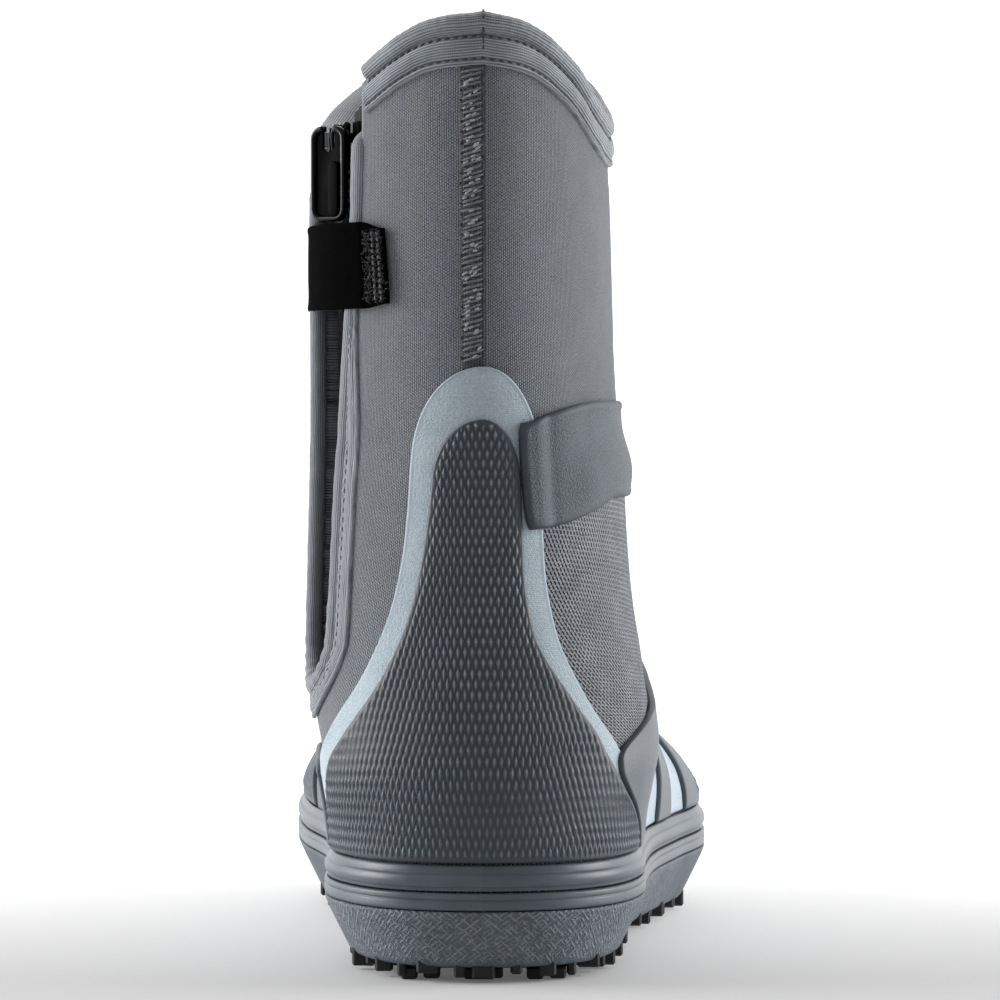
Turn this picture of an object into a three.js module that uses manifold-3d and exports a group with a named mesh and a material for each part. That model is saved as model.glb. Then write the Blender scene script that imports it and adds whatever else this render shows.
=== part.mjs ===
// A right-foot sailing boot: neoprene shaft with a zip slot on the inner side, rubber overlays,
// an ankle strap and a lugged sole. Millimetres, +Z up, +Y to the toe, +X to the outer side.
// Inside this file y runs forward from the heel; the boot group moves it to the frame's origin.
import * as THREE from "three";
import { mergeVertices } from "three/addons/utils/BufferGeometryUtils.js";
import Module from "manifold-3d";

const wasm = await Module();
wasm.setup();
const { lerp, clamp, smoothstep, degToRad } = THREE.MathUtils;

// ---- driving dimensions ----
const LENGTH = 300;
const GAP = 0.4;
const HEEL_X = -4.2; // the heel's centre line, and how far the toe's lies from it
const TOE_X = -9.2;
const TOE_SPRING = 10; // the toe's lift off the ground, and the share of the length where it starts
const SPRING_FROM = 0.62;
const FOXING_DEPTH = 3.8;
const WALL = 4.5; // neoprene
const LUG_TOP = 4;
const OUTSOLE_TOP = 18.6;
const LOWER_FOXING_TOP = 23.7;
const UPPER_FOXING_TOP = 30;
const OVERLAY_FOOT = UPPER_FOXING_TOP + 0.8;
const SOLE_BEVEL = 9;
const BINDING_HEIGHT = 5.5;
const COLLAR_HEIGHT = 13;
const ZIP = { y: 59, z: 180, rollRadius: 2.9, rollOff: -0.9, top: 222, bottom: 84, endZ: 227, pitch: 9 };
const SLOT = { backLow: 48.5, backHigh: 37.5, frontLow: 72.5, frontHigh: 74, lowZ: 84, highZ: 215 };
const PULL = { width: 10.5, height: 23, depth: 2.2, turn: 17, x: -1.9, z: 217.8, out: 2.6, high: 0.7 };
const GUARD = { low: 170.5, high: 194, anchor: 25, fold: 35.5, end: 91.5, lift: 2.8, bulge: 1.1 };
const STRAP = { low: 114, high: 141, climbLow: 5, climbHigh: 8, root: 120, tip: 214 };
// How far each layer's outer and inner face lies off the boot's surface.
const LAYERS = {
  upper: [0, -WALL],
  collarBinding: [1.9, -WALL - 1.9],
  collarBand: [1.4, GAP],
  backSeam: [1, GAP],
  zipFacing: [1.5, 0.6],
  guardAnchor: [2.6, 1.7],
  guardLoop: [1.2, GAP],
  guardHook: [2.2, 1.6],
  heelTrim: [2, 1.1],
  heelCounter: [3.6, 2.7],
  sideWrap: [1.8, 0.9],
  rib: [3.4, 2.3],
  toeCap: [2.6, 0.9],
  instepPad: [2.9, 1],
  meshPanel: [1.4, 0.6],
  strapLoop: [1.8, 1],
  strapFlap: [5.1, 3.2],
  strapHook: [2.8, 2.3],
};
const GUARD_DEPTH = 1.3;
const STRAP_DEPTH = 2.1;

// Half-widths of the sole beside the foot's axis every 15 degrees, heel to toe: outer, inner side.
const SOLE_WIDTHS = [
  [0, 0], [20.5, 20.5], [34, 33.5], [41.3, 40.8], [43.5, 41], [47.5, 40], [56, 43.5],
  [65, 50], [64.3, 52.5], [55.5, 48.5], [40.5, 38.5], [21.5, 21], [0, 0],
];
// Rings of the upper, from the sole to above the rim. Each has the height and the place of its back
// and front, the place of its widest point from the back, its outer and inner half-width, and its
// roundness from the sole's outline (0) to two half ellipses (1).
const RINGS = [
  [16, 6, 27, 250, 48, 44, 43, 0],
  [30, 4, 39, 250, 48, 44, 43, 0],
  [39, 3, 46, 250, 48, 44, 43, 0.17],
  [48, 3.5, 53, 250, 48, 44, 43, 0.48],
  [57, 5.5, 59, 249, 49, 43.5, 43.2, 0.84],
  [67, 8, 66, 232, 51, 42, 44.2, 1],
  [79, 11.5, 76, 204, 54, 40.5, 44.2, 1],
  [93, 15.5, 92, 179, 56, 38.5, 43.8, 1],
  [112, 19, 115, 161, 58, 37, 43.4, 1],
  [138, 20.5, 148, 151, 62, 36, 43.2, 1],
  [170, 19.5, 182, 147.5, 64, 34.8, 43.2, 1],
  [205, 17, 213, 148, 65, 33.5, 43.2, 1],
  [232, 14.5, 238, 150, 66, 33, 43.1, 1],
  [250, 12.5, 256, 152, 67, 33, 43, 1],
];
// Height of the rim every 20 degrees from the back to the front: outer side, inner side.
const RIM = [
  [245, 245], [242.5, 243], [235, 235], [225, 225], [221.5, 219], [226.5, 228], [235, 237.5],
  [239, 239.5], [240, 240], [240, 240],
];
// Edges of the heel counter and of the trim round it: height, and their angles from the heel.
const HEEL_EDGES = [
  [30.8, 44.5, 48], [46, 42, 47.5], [54, 38.5, 45.5], [62, 32, 39], [71, 26.3, 33], [83, 21.8, 28.5],
  [95, 19, 25.6], [106, 17.4, 24.2], [118, 16.2, 23.6], [129, 15.4, 23.5], [135, 14.2, 23],
];

// ---- colours and finishes ----
const finish = (color, roughness, metalness = 0) =>
  new THREE.MeshStandardMaterial({ color, roughness, metalness });
const JERSEY = finish(0x8d9097, 0.95);
const PALE_RUBBER = finish(0xb4c0c8, 0.6);
const DARK_RUBBER = finish(0x4b5258, 0.6);
const STRAP_RUBBER = finish(0x646c71, 0.65);
const FOXING_RUBBER = finish(0x697078, 0.4);
const SOLE_RUBBER = finish(0x747b82, 0.6);
const TREAD_RUBBER = finish(0x17181a, 0.7);
const TWILL = finish(0x9a9da2, 0.9);
const FOAM = finish(0x2b2d30, 0.95);
const BLACK_WEB = finish(0x101113, 0.95);
const BLACK_PLASTIC = finish(0x0c0d0f, 0.25);

// ---- the boot's surface ----
const wrapAngle = (angle) => Math.atan2(Math.sin(angle), Math.cos(angle));
const alongFoot = (angle) => (1 - Math.cos(angle)) / 2;
const axisX = (t, share = 1) => HEEL_X + (TOE_X - HEEL_X) * share * t * t;
const spring = (t) => TOE_SPRING * Math.max(0, (t - SPRING_FROM) / (1 - SPRING_FROM)) ** 2;

// A smooth curve through the rows of a table, straight past its ends.
function tableAt(rows, t) {
  const last = rows.length - 1;
  const i = clamp(Math.floor(t), 0, last - 1);
  const u = t - i;
  const row = (k) => {
    if (k < 0) return rows[0].map((value, c) => 2 * value - rows[1][c]);
    if (k > last) return rows[last].map((value, c) => 2 * value - rows[last - 1][c]);
    return rows[k];
  };
  const [before, from, to, after] = [row(i - 1), row(i), row(i + 1), row(i + 2)];
  return from.map((value, c) => {
    const slope = to[c] - before[c];
    const square = 2 * before[c] - 5 * value + 4 * to[c] - after[c];
    const cube = 3 * (value - to[c]) + after[c] - before[c];
    return value + 0.5 * u * (slope + u * (square + u * cube));
  });
}

// The sole's outline at an angle from the heel, moved inwards by inset.
function soleEdge(angle, inset = 0) {
  const at = (a) => {
    const turn = wrapAngle(a);
    const widths = tableAt(SOLE_WIDTHS, Math.abs(turn) / (Math.PI / 12));
    const t = alongFoot(a);
    return new THREE.Vector2(axisX(t) + (turn < 0 ? -widths[1] : widths[0]), LENGTH * t);
  };
  const step = 1e-3;
  const along = at(angle + step).sub(at(angle - step)).normalize();
  return at(angle).add(new THREE.Vector2(-along.y, along.x).multiplyScalar(inset));
}

// A point of the upper: angle round the boot from the heel (outer side positive), ring number
// upwards, and distance off the surface.
function skin(angle, ring, off = 0) {
  const at = (a, r) => {
    const [backZ, backY, frontZ, frontY, widest, outer, inner, round] = tableAt(RINGS, r);
    const t = alongFoot(a);
    const depth = frontY - backY;
    const y = depth * t;
    const reach = y < widest ? (widest - y) / widest : (y - widest) / (depth - widest);
    const side = Math.sin(a) < 0 ? -inner : outer;
    const x = axisX(t, 0.5) + side * Math.sqrt(Math.max(0, 1 - reach * reach));
    const sole = soleEdge(a, FOXING_DEPTH);
    const z = backZ + (frontZ - backZ) * t ** 4;
    return new THREE.Vector3(lerp(sole.x, x, round), lerp(sole.y, backY + y, round), z);
  };
  const point = at(angle, ring);
  if (off === 0) return point;
  const around = at(angle + 0.004, ring).sub(at(angle - 0.004, ring));
  const up = at(angle, ring + 0.01).sub(at(angle, ring - 0.01));
  return point.addScaledVector(around.cross(up).normalize(), off);
}

function bisect(test, low, high) {
  for (let i = 0; i < 26; i++) {
    const middle = (low + high) / 2;
    if (test(middle)) low = middle;
    else high = middle;
  }
  return (low + high) / 2;
}
const ringAt = (angle, z) => bisect((r) => skin(angle, r).z < z, 0, RINGS.length - 1);
const pointAt = (angle, z, off) => skin(angle, ringAt(angle, z), off);
// The angle where the surface at height z lies y forward of the heel, or x from the heel's line.
const angleAtY = (side, y, z) => side * bisect((a) => pointAt(side * a, z).y < y, 0.001, 3.1);
const angleAtX = (side, x, z) =>
  side * bisect((a) => Math.abs(pointAt(side * a, z).x - HEEL_X) < x, 0.001, 1.4);
const onInner = (y, z, off = 0) => pointAt(angleAtY(-1, y, z), z, off);
const rimAt = (angle) => {
  const turn = wrapAngle(angle);
  return tableAt(RIM, Math.abs(turn) / (Math.PI / 9))[turn < 0 ? 1 : 0];
};
const rad = degToRad;

// ---- solids ----
// The closed body between two grids of points.
function gridSolid(front, back, columns, rows) {
  const points = [];
  for (const side of [front, back]) {
    for (let j = 0; j <= rows; j++) {
      for (let i = 0; i <= columns; i++) points.push(side(i / columns, j / rows));
    }
  }
  const width = columns + 1;
  const layer = width * (rows + 1);
  const at = (i, j, side) => side * layer + j * width + i;
  const index = [];
  const quad = (a, b, c, d) => index.push(a, b, c, a, c, d);
  for (let j = 0; j < rows; j++) {
    for (let i = 0; i < columns; i++) {
      quad(at(i, j, 0), at(i + 1, j, 0), at(i + 1, j + 1, 0), at(i, j + 1, 0));
      quad(at(i, j, 1), at(i, j + 1, 1), at(i + 1, j + 1, 1), at(i + 1, j, 1));
    }
    quad(at(0, j, 0), at(0, j + 1, 0), at(0, j + 1, 1), at(0, j, 1));
    quad(at(columns, j, 0), at(columns, j, 1), at(columns, j + 1, 1), at(columns, j + 1, 0));
  }
  for (let i = 0; i < columns; i++) {
    quad(at(i, 0, 0), at(i, 0, 1), at(i + 1, 0, 1), at(i + 1, 0, 0));
    quad(at(i, rows, 0), at(i + 1, rows, 0), at(i + 1, rows, 1), at(i, rows, 1));
  }
  return new THREE.BufferGeometry().setFromPoints(points).setIndex(index);
}

// A sheet on the boot's surface. where(a, b) gives its angle and ring, a round the boot and b up;
// layer is its outer and inner face's distance off the surface, numbers or functions of a and b.
function sheet({ columns, rows, where, layer }) {
  const face = (off) => (a, b) => skin(...where(a, b), typeof off === "function" ? off(a, b) : off);
  return gridSolid(face(layer[0]), face(layer[1]), columns, rows);
}

// A closed section, a list of insets and heights, carried round the sole's outline.
function soleBand(section, steps = 40) {
  const points = [];
  for (let i = 0; i < steps; i++) {
    const angle = (i / steps) * 2 * Math.PI;
    for (const [inset, z] of section) {
      const edge = soleEdge(angle, inset);
      points.push(new THREE.Vector3(edge.x, edge.y, z + spring(edge.y / LENGTH)));
    }
  }
  const n = section.length;
  const index = [];
  for (let i = 0; i < steps; i++) {
    const next = ((i + 1) % steps) * n;
    for (let k = 0; k < n; k++) {
      const m = (k + 1) % n;
      index.push(i * n + k, next + k, next + m, i * n + k, next + m, i * n + m);
    }
  }
  return new THREE.BufferGeometry().setFromPoints(points).setIndex(index);
}

// A solid slab in the sole's outline, through a list of insets and heights from the bottom up.
function soleSlab(levels, steps = 40) {
  const points = [];
  for (const [inset, z] of levels) {
    for (let i = 0; i < steps; i++) {
      const angle = (i / steps) * 2 * Math.PI;
      const edge = soleEdge(angle, inset);
      points.push(new THREE.Vector3(edge.x, edge.y, z + spring(edge.y / LENGTH)));
    }
  }
  const index = [];
  for (let j = 0; j < levels.length - 1; j++) {
    for (let i = 0; i < steps; i++) {
      const a = j * steps + i;
      const b = j * steps + ((i + 1) % steps);
      index.push(a, b, b + steps, a, b + steps, a + steps);
    }
  }
  const top = (levels.length - 1) * steps;
  for (let i = 0; i < steps / 2; i++) {
    const mate = (steps - i) % steps;
    const nextMate = steps - i - 1;
    if (i > 0) {
      index.push(i, mate, nextMate);
      index.push(top + i, top + nextMate, top + mate);
    }
    if (i < steps / 2 - 1) {
      index.push(i, nextMate, i + 1);
      index.push(top + i, top + i + 1, top + nextMate);
    }
  }
  return new THREE.BufferGeometry().setFromPoints(points).setIndex(index);
}

function box(low, high) {
  const size = high.map((value, k) => value - low[k]);
  const middle = high.map((value, k) => (value + low[k]) / 2);
  return new THREE.BoxGeometry(...size).translate(...middle);
}

function extrude(shape, depth) {
  return new THREE.ExtrudeGeometry(shape, { depth, bevelEnabled: false, curveSegments: 5 });
}

function roundedRect(width, height, radius, Kind = THREE.Shape) {
  const [x, y] = [width / 2, height / 2];
  const shape = new Kind();
  shape.absarc(x - radius, y - radius, radius, 0, Math.PI / 2);
  shape.absarc(-x + radius, y - radius, radius, Math.PI / 2, Math.PI);
  shape.absarc(-x + radius, -y + radius, radius, Math.PI, 1.5 * Math.PI);
  shape.absarc(x - radius, -y + radius, radius, 1.5 * Math.PI, 2 * Math.PI);
  shape.closePath();
  return shape;
}

function tube(points, radius, steps, sides = 8) {
  const path = new THREE.CatmullRomCurve3(points);
  const section = new THREE.Shape().absarc(0, 0, radius, 0, 2 * Math.PI);
  const options = { extrudePath: path, steps, curveSegments: sides / 2 };
  return new THREE.ExtrudeGeometry(section, options);
}

function manifoldOf(geometry) {
  const bare = geometry.clone();
  bare.deleteAttribute("normal");
  bare.deleteAttribute("uv");
  const merged = mergeVertices(bare, 1e-4);
  const vertProperties = merged.attributes.position.array;
  const triVerts = new Uint32Array(merged.index.array);
  return new wasm.Manifold(new wasm.Mesh({ numProp: 3, vertProperties, triVerts }));
}

function geometryOf(solid) {
  const { vertProperties, triVerts } = solid.getMesh();
  const position = new THREE.BufferAttribute(new Float32Array(vertProperties), 3);
  const index = new THREE.BufferAttribute(new Uint32Array(triVerts), 1);
  return new THREE.BufferGeometry().setAttribute("position", position).setIndex(index);
}

const join = (...pieces) => geometryOf(pieces.map(manifoldOf).reduce((all, one) => all.add(one)));
const cut = (body, ...tools) =>
  geometryOf(tools.map(manifoldOf).reduce((all, tool) => all.subtract(tool), manifoldOf(body)));

const root = new THREE.Group();
const boot = new THREE.Group();
boot.position.y = -LENGTH / 2;
root.add(boot);

function add(parent, name, geometry, material) {
  const mesh = new THREE.Mesh(geometry, material);
  mesh.name = name;
  parent.add(mesh);
  return mesh;
}

// ---- sole ----
function addSole() {
  const sole = new THREE.Group();
  boot.add(sole);
  const bevel = (share) => SOLE_BEVEL * share;
  const outsole = [
    [bevel(1), LUG_TOP], [bevel(0.62), 8], [bevel(0.28), 12.5], [bevel(0.08), 16.5], [0, OUTSOLE_TOP],
  ];
  add(sole, "outsole", soleSlab(outsole), SOLE_RUBBER);

  const low = OUTSOLE_TOP + GAP;
  const inside = FOXING_DEPTH - 3 * GAP;
  const lower = [[0.6, low], [0, low + 0.8], [0, LOWER_FOXING_TOP - 1.5], [0.8, LOWER_FOXING_TOP - 0.6]];
  const lowerBack = [[inside, LOWER_FOXING_TOP - 0.6], [inside, low]];
  add(sole, "lower_foxing", soleBand([...lower, ...lowerBack]), FOXING_RUBBER);
  const start = LOWER_FOXING_TOP - 0.2;
  const middle = (start + UPPER_FOXING_TOP) / 2;
  const bead = [[1.2, start], [0.1, middle - 1], [0.3, middle + 1.2], [1.4, UPPER_FOXING_TOP]];
  const beadBack = [[inside, UPPER_FOXING_TOP], [inside, start]];
  add(sole, "upper_foxing", soleBand([...bead, ...beadBack]), FOXING_RUBBER);

  const core = FOXING_DEPTH + WALL + 1.4;
  add(sole, "midsole", soleSlab([[core, low], [core, 22.6]], 32), FOAM);
  add(sole, "lasting_board", soleSlab([[core, 23], [core, 25]], 32), FOAM);
  add(sole, "insole", soleSlab([[core + 0.8, 25.4], [core + 0.8, 29.6]], 32), FOAM);
}

// Square lugs on a grid inside the sole's lower outline, joined by the sheet they are moulded on.
function addTread() {
  const LUG = { across: 10, along: 10, pitchX: 16, pitchY: 16.5, edge: SOLE_BEVEL + 1.5 };
  const SHANK = [104, 118];
  const sheetLow = LUG_TOP - 1.1;
  const plate = soleSlab([[LUG.edge, sheetLow], [LUG.edge, LUG_TOP - GAP]]);
  const inside = (x, y) => {
    const angle = Math.acos(1 - (2 * y) / LENGTH);
    return x < soleEdge(angle, LUG.edge).x && x > soleEdge(-angle, LUG.edge).x;
  };
  const lugs = { heel_tread: [], forefoot_tread: [] };
  for (let y = 21; y < LENGTH - 16; y += LUG.pitchY) {
    if (y > SHANK[0] - 8 && y < SHANK[1] + 6) continue;
    for (let column = -5; column <= 5; column++) {
      const x = HEEL_X + column * LUG.pitchX;
      const [w, l] = [LUG.across / 2, LUG.along / 2];
      const corners = [[x - w, y - l], [x + w, y - l], [x - w, y + l], [x + w, y + l]];
      if (!corners.every((corner) => inside(...corner))) continue;
      const [lift, top] = [spring((y - l) / LENGTH), spring(y / LENGTH) + sheetLow + 0.4];
      const name = y < SHANK[0] ? "heel_tread" : "forefoot_tread";
      lugs[name].push(box([x - w, y - l, lift], [x + w, y + l, top]));
    }
  }
  const [behind, ahead] = [-10, LENGTH + 10];
  const pastHeel = box([-99, SHANK[0], -9], [99, ahead, 30]);
  const pastToe = box([-99, behind, -9], [99, SHANK[1], 30]);
  add(boot, "heel_tread", join(cut(plate, pastHeel), ...lugs.heel_tread), TREAD_RUBBER);
  add(boot, "forefoot_tread", join(cut(plate, pastToe), ...lugs.forefoot_tread), TREAD_RUBBER);
}

// ---- neoprene upper ----
const panelFoot = (angle) => ringAt(angle, OUTSOLE_TOP + GAP + spring(alongFoot(angle)));
const panelHead = (angle) => ringAt(angle, rimAt(angle) - BINDING_HEIGHT - 3 * GAP);
const VAMP_SIDE = rad(72);
const VAMP_RING = 4.9;

// The slot's edge as y and z, from the rim down the back edge, round the bottom and up the front.
// outset widens it; the back edge leans back towards the rim.
function slotEdge(share, outset, top) {
  const lean = (z) => clamp((z - SLOT.lowZ) / (SLOT.highZ - SLOT.lowZ), 0, 1.15);
  const back = (z) => lerp(SLOT.backLow, SLOT.backHigh, lean(z)) - outset;
  const front = (z) => lerp(SLOT.frontLow, SLOT.frontHigh, lean(z)) + outset;
  const straight = 0.4;
  if (share < straight) {
    const z = lerp(top, SLOT.lowZ, share / straight);
    return [back(z), z];
  }
  if (share > 1 - straight) {
    const z = lerp(SLOT.lowZ, top, (share - 1 + straight) / straight);
    return [front(z), z];
  }
  const turn = Math.PI * (1 + (share - straight) / (1 - 2 * straight));
  const middle = (SLOT.backLow + SLOT.frontLow) / 2;
  const radius = (SLOT.frontLow - SLOT.backLow) / 2 + outset;
  return [middle + radius * Math.cos(turn), SLOT.lowZ + radius * Math.sin(turn)];
}

// A block through the inner wall in the slot's outline, open at the rim.
function slotCutter(outset) {
  const top = 246;
  const where = (a, b) => {
    const share = lerp(0.497, 0, b);
    const [back, z] = slotEdge(share, outset, top);
    const [front] = slotEdge(1 - share, outset, top);
    const angle = angleAtY(-1, lerp(front, back, a), z);
    return [angle, ringAt(angle, z)];
  };
  return sheet({ columns: 4, rows: 16, layer: [6, -12], where });
}

function addUpper() {
  const vampCut = {
    columns: 16, rows: 6, layer: [4, -9],
    where: (a, b) => [lerp(VAMP_SIDE, 2 * Math.PI - VAMP_SIDE, a), lerp(-0.6, VAMP_RING, b)],
  };
  const quarter = (side) => ({
    columns: 20, rows: 18, layer: LAYERS.upper,
    where: (a, b) => {
      const angle = lerp(rad(0.5), rad(179.6), side > 0 ? a : 1 - a) * side;
      const [foot, head] = [panelFoot(angle), panelHead(angle)];
      return [angle, lerp(foot, head, b)];
    },
  });
  const vampHole = sheet(vampCut);
  add(boot, "outer_quarter", cut(sheet(quarter(1)), vampHole), JERSEY);
  add(boot, "inner_quarter", cut(sheet(quarter(-1)), vampHole, slotCutter(ZIP.rollRadius + GAP)), JERSEY);
  const margin = rad(0.5);
  const vamp = {
    columns: 16, rows: 7, layer: LAYERS.upper,
    where: (a, b) => {
      const angle = lerp(VAMP_SIDE + margin, 2 * Math.PI - VAMP_SIDE - margin, a);
      return [angle, lerp(panelFoot(angle), VAMP_RING - 0.06, b)];
    },
  };
  add(boot, "vamp", sheet(vamp), JERSEY);
}

// ---- collar and seams ----
function addCollar() {
  const clear = ZIP.rollRadius + GAP;
  const endZ = 226;
  const from = angleAtY(-1, slotEdge(0, clear, endZ)[0], endZ);
  const to = angleAtY(-1, slotEdge(1, clear, endZ)[0], endZ) + 2 * Math.PI;
  const strip = (low, high) => (a, b) => {
    const angle = lerp(from, to, a);
    return [angle, ringAt(angle, rimAt(angle) - lerp(low, high, b))];
  };
  const binding = { columns: 48, rows: 1, layer: LAYERS.collarBinding, where: strip(BINDING_HEIGHT, 0) };
  const bandTop = BINDING_HEIGHT + GAP;
  const band = { columns: 48, rows: 1, layer: LAYERS.collarBand, where: strip(COLLAR_HEIGHT, bandTop) };
  add(boot, "collar_binding", sheet(binding), JERSEY);
  add(boot, "collar_band", sheet(band), JERSEY);
  const seam = {
    columns: 2, rows: 8, layer: LAYERS.backSeam,
    where: (a, b) => {
      const z = lerp(157, rimAt(0) - COLLAR_HEIGHT - 0.6, b);
      const angle = angleAtX(1, 3, z);
      return [lerp(-angle, angle, a), ringAt(0, z)];
    },
  };
  add(boot, "back_seam", sheet(seam), JERSEY);
}

// ---- zip ----
// The group's axes: +X out of the boot, +Y backwards, +Z up, with its origin on the surface.
function zipGroup() {
  const foot = onInner(ZIP.y, ZIP.z);
  const out = onInner(ZIP.y, ZIP.z, 1).sub(foot);
  const group = new THREE.Group();
  group.position.set(foot.x, foot.y, 0);
  group.rotation.z = Math.atan2(out.y, out.x);
  boot.add(group);
  return group;
}

function addZipSlot() {
  const rollTop = 228;
  const FACING_TOP = 204;
  const edge = [];
  const steps = 30;
  for (let i = 0; i <= steps; i++) {
    const [y, z] = slotEdge(i / steps, 0, rollTop);
    edge.push(onInner(y, z, ZIP.rollOff));
  }
  add(boot, "zip_binding", tube(edge, ZIP.rollRadius, 36, 6), JERSEY);
  const facing = (low, high) => (a, b) => {
    const [y, z] = slotEdge(1 - a, lerp(low, high, b), FACING_TOP);
    const angle = angleAtY(-1, y, z);
    return [angle, ringAt(angle, z)];
  };
  const face = { columns: 32, rows: 1, layer: LAYERS.zipFacing, where: facing(8.4, 3.5) };
  add(boot, "zip_facing", sheet(face), JERSEY);
  const GUSSET = { front: 86, back: 31, low: 74, high: 224, depth: 9.4, sag: 3.4, thick: 1.5 };
  const behind = (b) => -GUSSET.depth - GUSSET.sag * (1 - smoothstep(b, 0.1, 0.42));
  const gusset = {
    columns: 8, rows: 10, layer: [(a, b) => behind(b), (a, b) => behind(b) - GUSSET.thick],
    where: (a, b) => {
      const z = lerp(GUSSET.low, GUSSET.high, b);
      const angle = angleAtY(-1, lerp(GUSSET.front, GUSSET.back, a), z);
      return [angle, ringAt(angle, z)];
    },
  };
  add(boot, "zip_gusset", sheet(gusset), JERSEY);
}

function addZip() {
  const zip = zipGroup();
  const TAPE = { low: -6.2, high: -5.5, from: 0.9, to: 8.6 };
  const TOOTH = { low: -7, high: -4.7, from: 0.6, to: 2.4, height: 3 };
  for (const [name, side] of [["back", 1], ["front", -1]]) {
    const low = side > 0 ? TAPE.from + 1.8 : -TAPE.to;
    const high = side > 0 ? TAPE.to : -TAPE.from - 1.8;
    add(zip, "zip_tape_" + name, box([TAPE.low, low, ZIP.bottom], [TAPE.high, high, ZIP.endZ]), BLACK_WEB);
    const [inner, outer] = side > 0 ? [TOOTH.from, TOOTH.to] : [-TOOTH.to, -TOOTH.from];
    const rail = box([TAPE.low, inner, ZIP.bottom + 6], [TAPE.high, outer, ZIP.top + 1]);
    const teeth = [];
    const shift = side > 0 ? 0 : ZIP.pitch / 2;
    for (let z = ZIP.bottom + 7 + shift; z < ZIP.top - 2; z += ZIP.pitch) {
      teeth.push(box([TOOTH.low, inner, z], [TOOTH.high, outer, z + TOOTH.height]));
    }
    add(zip, "zip_teeth_" + name, join(rail, ...teeth), BLACK_PLASTIC);
    const stop = side > 0 ? [GAP, 3.4] : [-3.4, -GAP];
    const [stopLow, stopHigh] = [[-4.8, stop[0], 225.4], [-2.4, stop[1], 227.8]];
    add(zip, "zip_top_stop_" + name, box(stopLow, stopHigh), BLACK_PLASTIC);
  }
  add(zip, "zip_bottom_stop", box([-5, -3, 85], [-3.4, 3, 89]), BLACK_PLASTIC);

  const SLIDER = { low: 212.5, high: 221.5, half: 4.6 };
  const upper = box([-4.3, -SLIDER.half, SLIDER.low], [-3.1, SLIDER.half, SLIDER.high]);
  const lower = box([-8.7, -SLIDER.half, SLIDER.low], [-7.5, SLIDER.half, SLIDER.high]);
  const wedge = box([-8.5, -GAP / 2 - 0.05, SLIDER.high - 3], [-3.3, GAP / 2 + 0.05, SLIDER.high - 0.4]);
  add(zip, "zip_slider", join(upper, lower, wedge), BLACK_PLASTIC);
  const bail = [[-3.7, 213.6], [-1.4, 214.2], [-0.6, 217], [-1.4, 219.8], [-3.7, 220.4]];
  const bailPath = bail.map(([x, z]) => new THREE.Vector3(x, 0, z));
  const bailArch = cut(tube(bailPath, 0.55, 12, 6), box([-9, -2, 210], [-2.7, 2, 225]));
  add(zip, "slider_bridge", bailArch, BLACK_PLASTIC);
  addPull(zip);
}

// The pull hangs from a pin under the slider's bridge. Its group has its origin on the pin, with +X
// out of the boot, and is turned a little towards the heel.
function addPull(zip) {
  const pull = new THREE.Group();
  pull.position.set(PULL.x, 0, PULL.z);
  pull.rotation.z = rad(PULL.turn);
  zip.add(pull);
  const pin = new THREE.CylinderGeometry(0.42, 0.42, 4.4, 8);
  const arms = [-1, 1].map((side) => box([0.1, side * 1.7 - 0.5, -5.2], [1.1, side * 1.7 + 0.5, 0.5]));
  add(pull, "pull_link", join(pin, ...arms, box([0.1, -2.2, -19], [1.1, 2.2, -4.8])), BLACK_PLASTIC);

  const edge = 1.5;
  const outline = roundedRect(PULL.width, PULL.height, 2.4);
  outline.holes.push(roundedRect(PULL.width - 2 * edge, PULL.height - 2 * edge, 1.3, THREE.Path));
  const upright = (geometry, depth) =>
    geometry.translate(0, 0, -depth / 2).rotateX(Math.PI / 2).rotateZ(Math.PI / 2)
      .translate(PULL.out, 0, PULL.high - PULL.height / 2);
  const rim = upright(extrude(outline, PULL.depth), PULL.depth);
  const floor = upright(extrude(roundedRect(PULL.width - 1, PULL.height - 1, 2), 1), 1);
  const throat = box([0, -1.6, -4.4], [9, 1.6, 9]);
  add(pull, "zip_pull", cut(join(rim, floor), throat), BLACK_PLASTIC);
}

// ---- guard tab over the zip pull's foot ----
function addGuard() {
  const strip = (low, high, margin = 0) => (a, b) => {
    const z = lerp(GUARD.low + margin, GUARD.high - margin, b);
    const angle = angleAtY(-1, lerp(high, low, a), z);
    return [angle, ringAt(angle, z)];
  };
  const fixed = strip(GUARD.anchor, GUARD.fold - 1);
  const anchor = { columns: 3, rows: 1, layer: LAYERS.guardAnchor, where: fixed };
  add(boot, "guard_anchor", sheet(anchor), BLACK_WEB);
  const loop = { columns: 3, rows: 1, layer: LAYERS.guardLoop, where: strip(83.5, 93, 1) };
  add(boot, "guard_loop_patch", sheet(loop), BLACK_WEB);
  const yAt = (a) => lerp(GUARD.end, GUARD.fold, a);
  const overSlot = (y) => smoothstep(y, 42, 50) * (1 - smoothstep(y, 66, 74));
  const lift = (a) => GUARD.lift + GUARD.bulge * overSlot(yAt(a));
  const tab = {
    columns: 14, rows: 1, layer: [(a) => lift(a) + GUARD_DEPTH, lift], where: strip(GUARD.fold, GUARD.end),
  };
  add(boot, "guard_tab", sheet(tab), BLACK_WEB);
  const hook = { columns: 3, rows: 1, layer: LAYERS.guardHook, where: strip(84, 91, 1.5) };
  add(boot, "guard_hook", sheet(hook), BLACK_WEB);
}

// ---- overlays ----
const sheetOn = (name, material, layer, columns, rows, where) =>
  add(boot, name, sheet({ columns, rows, layer, where }), material);

// The angle of a heel piece's edge at a height; which is 1 for the counter, 2 for the trim.
function heelEdge(z, which) {
  const row = bisect((t) => tableAt(HEEL_EDGES, t)[0] < z, 0, HEEL_EDGES.length - 1);
  return rad(tableAt(HEEL_EDGES, row)[which]);
}

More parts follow.
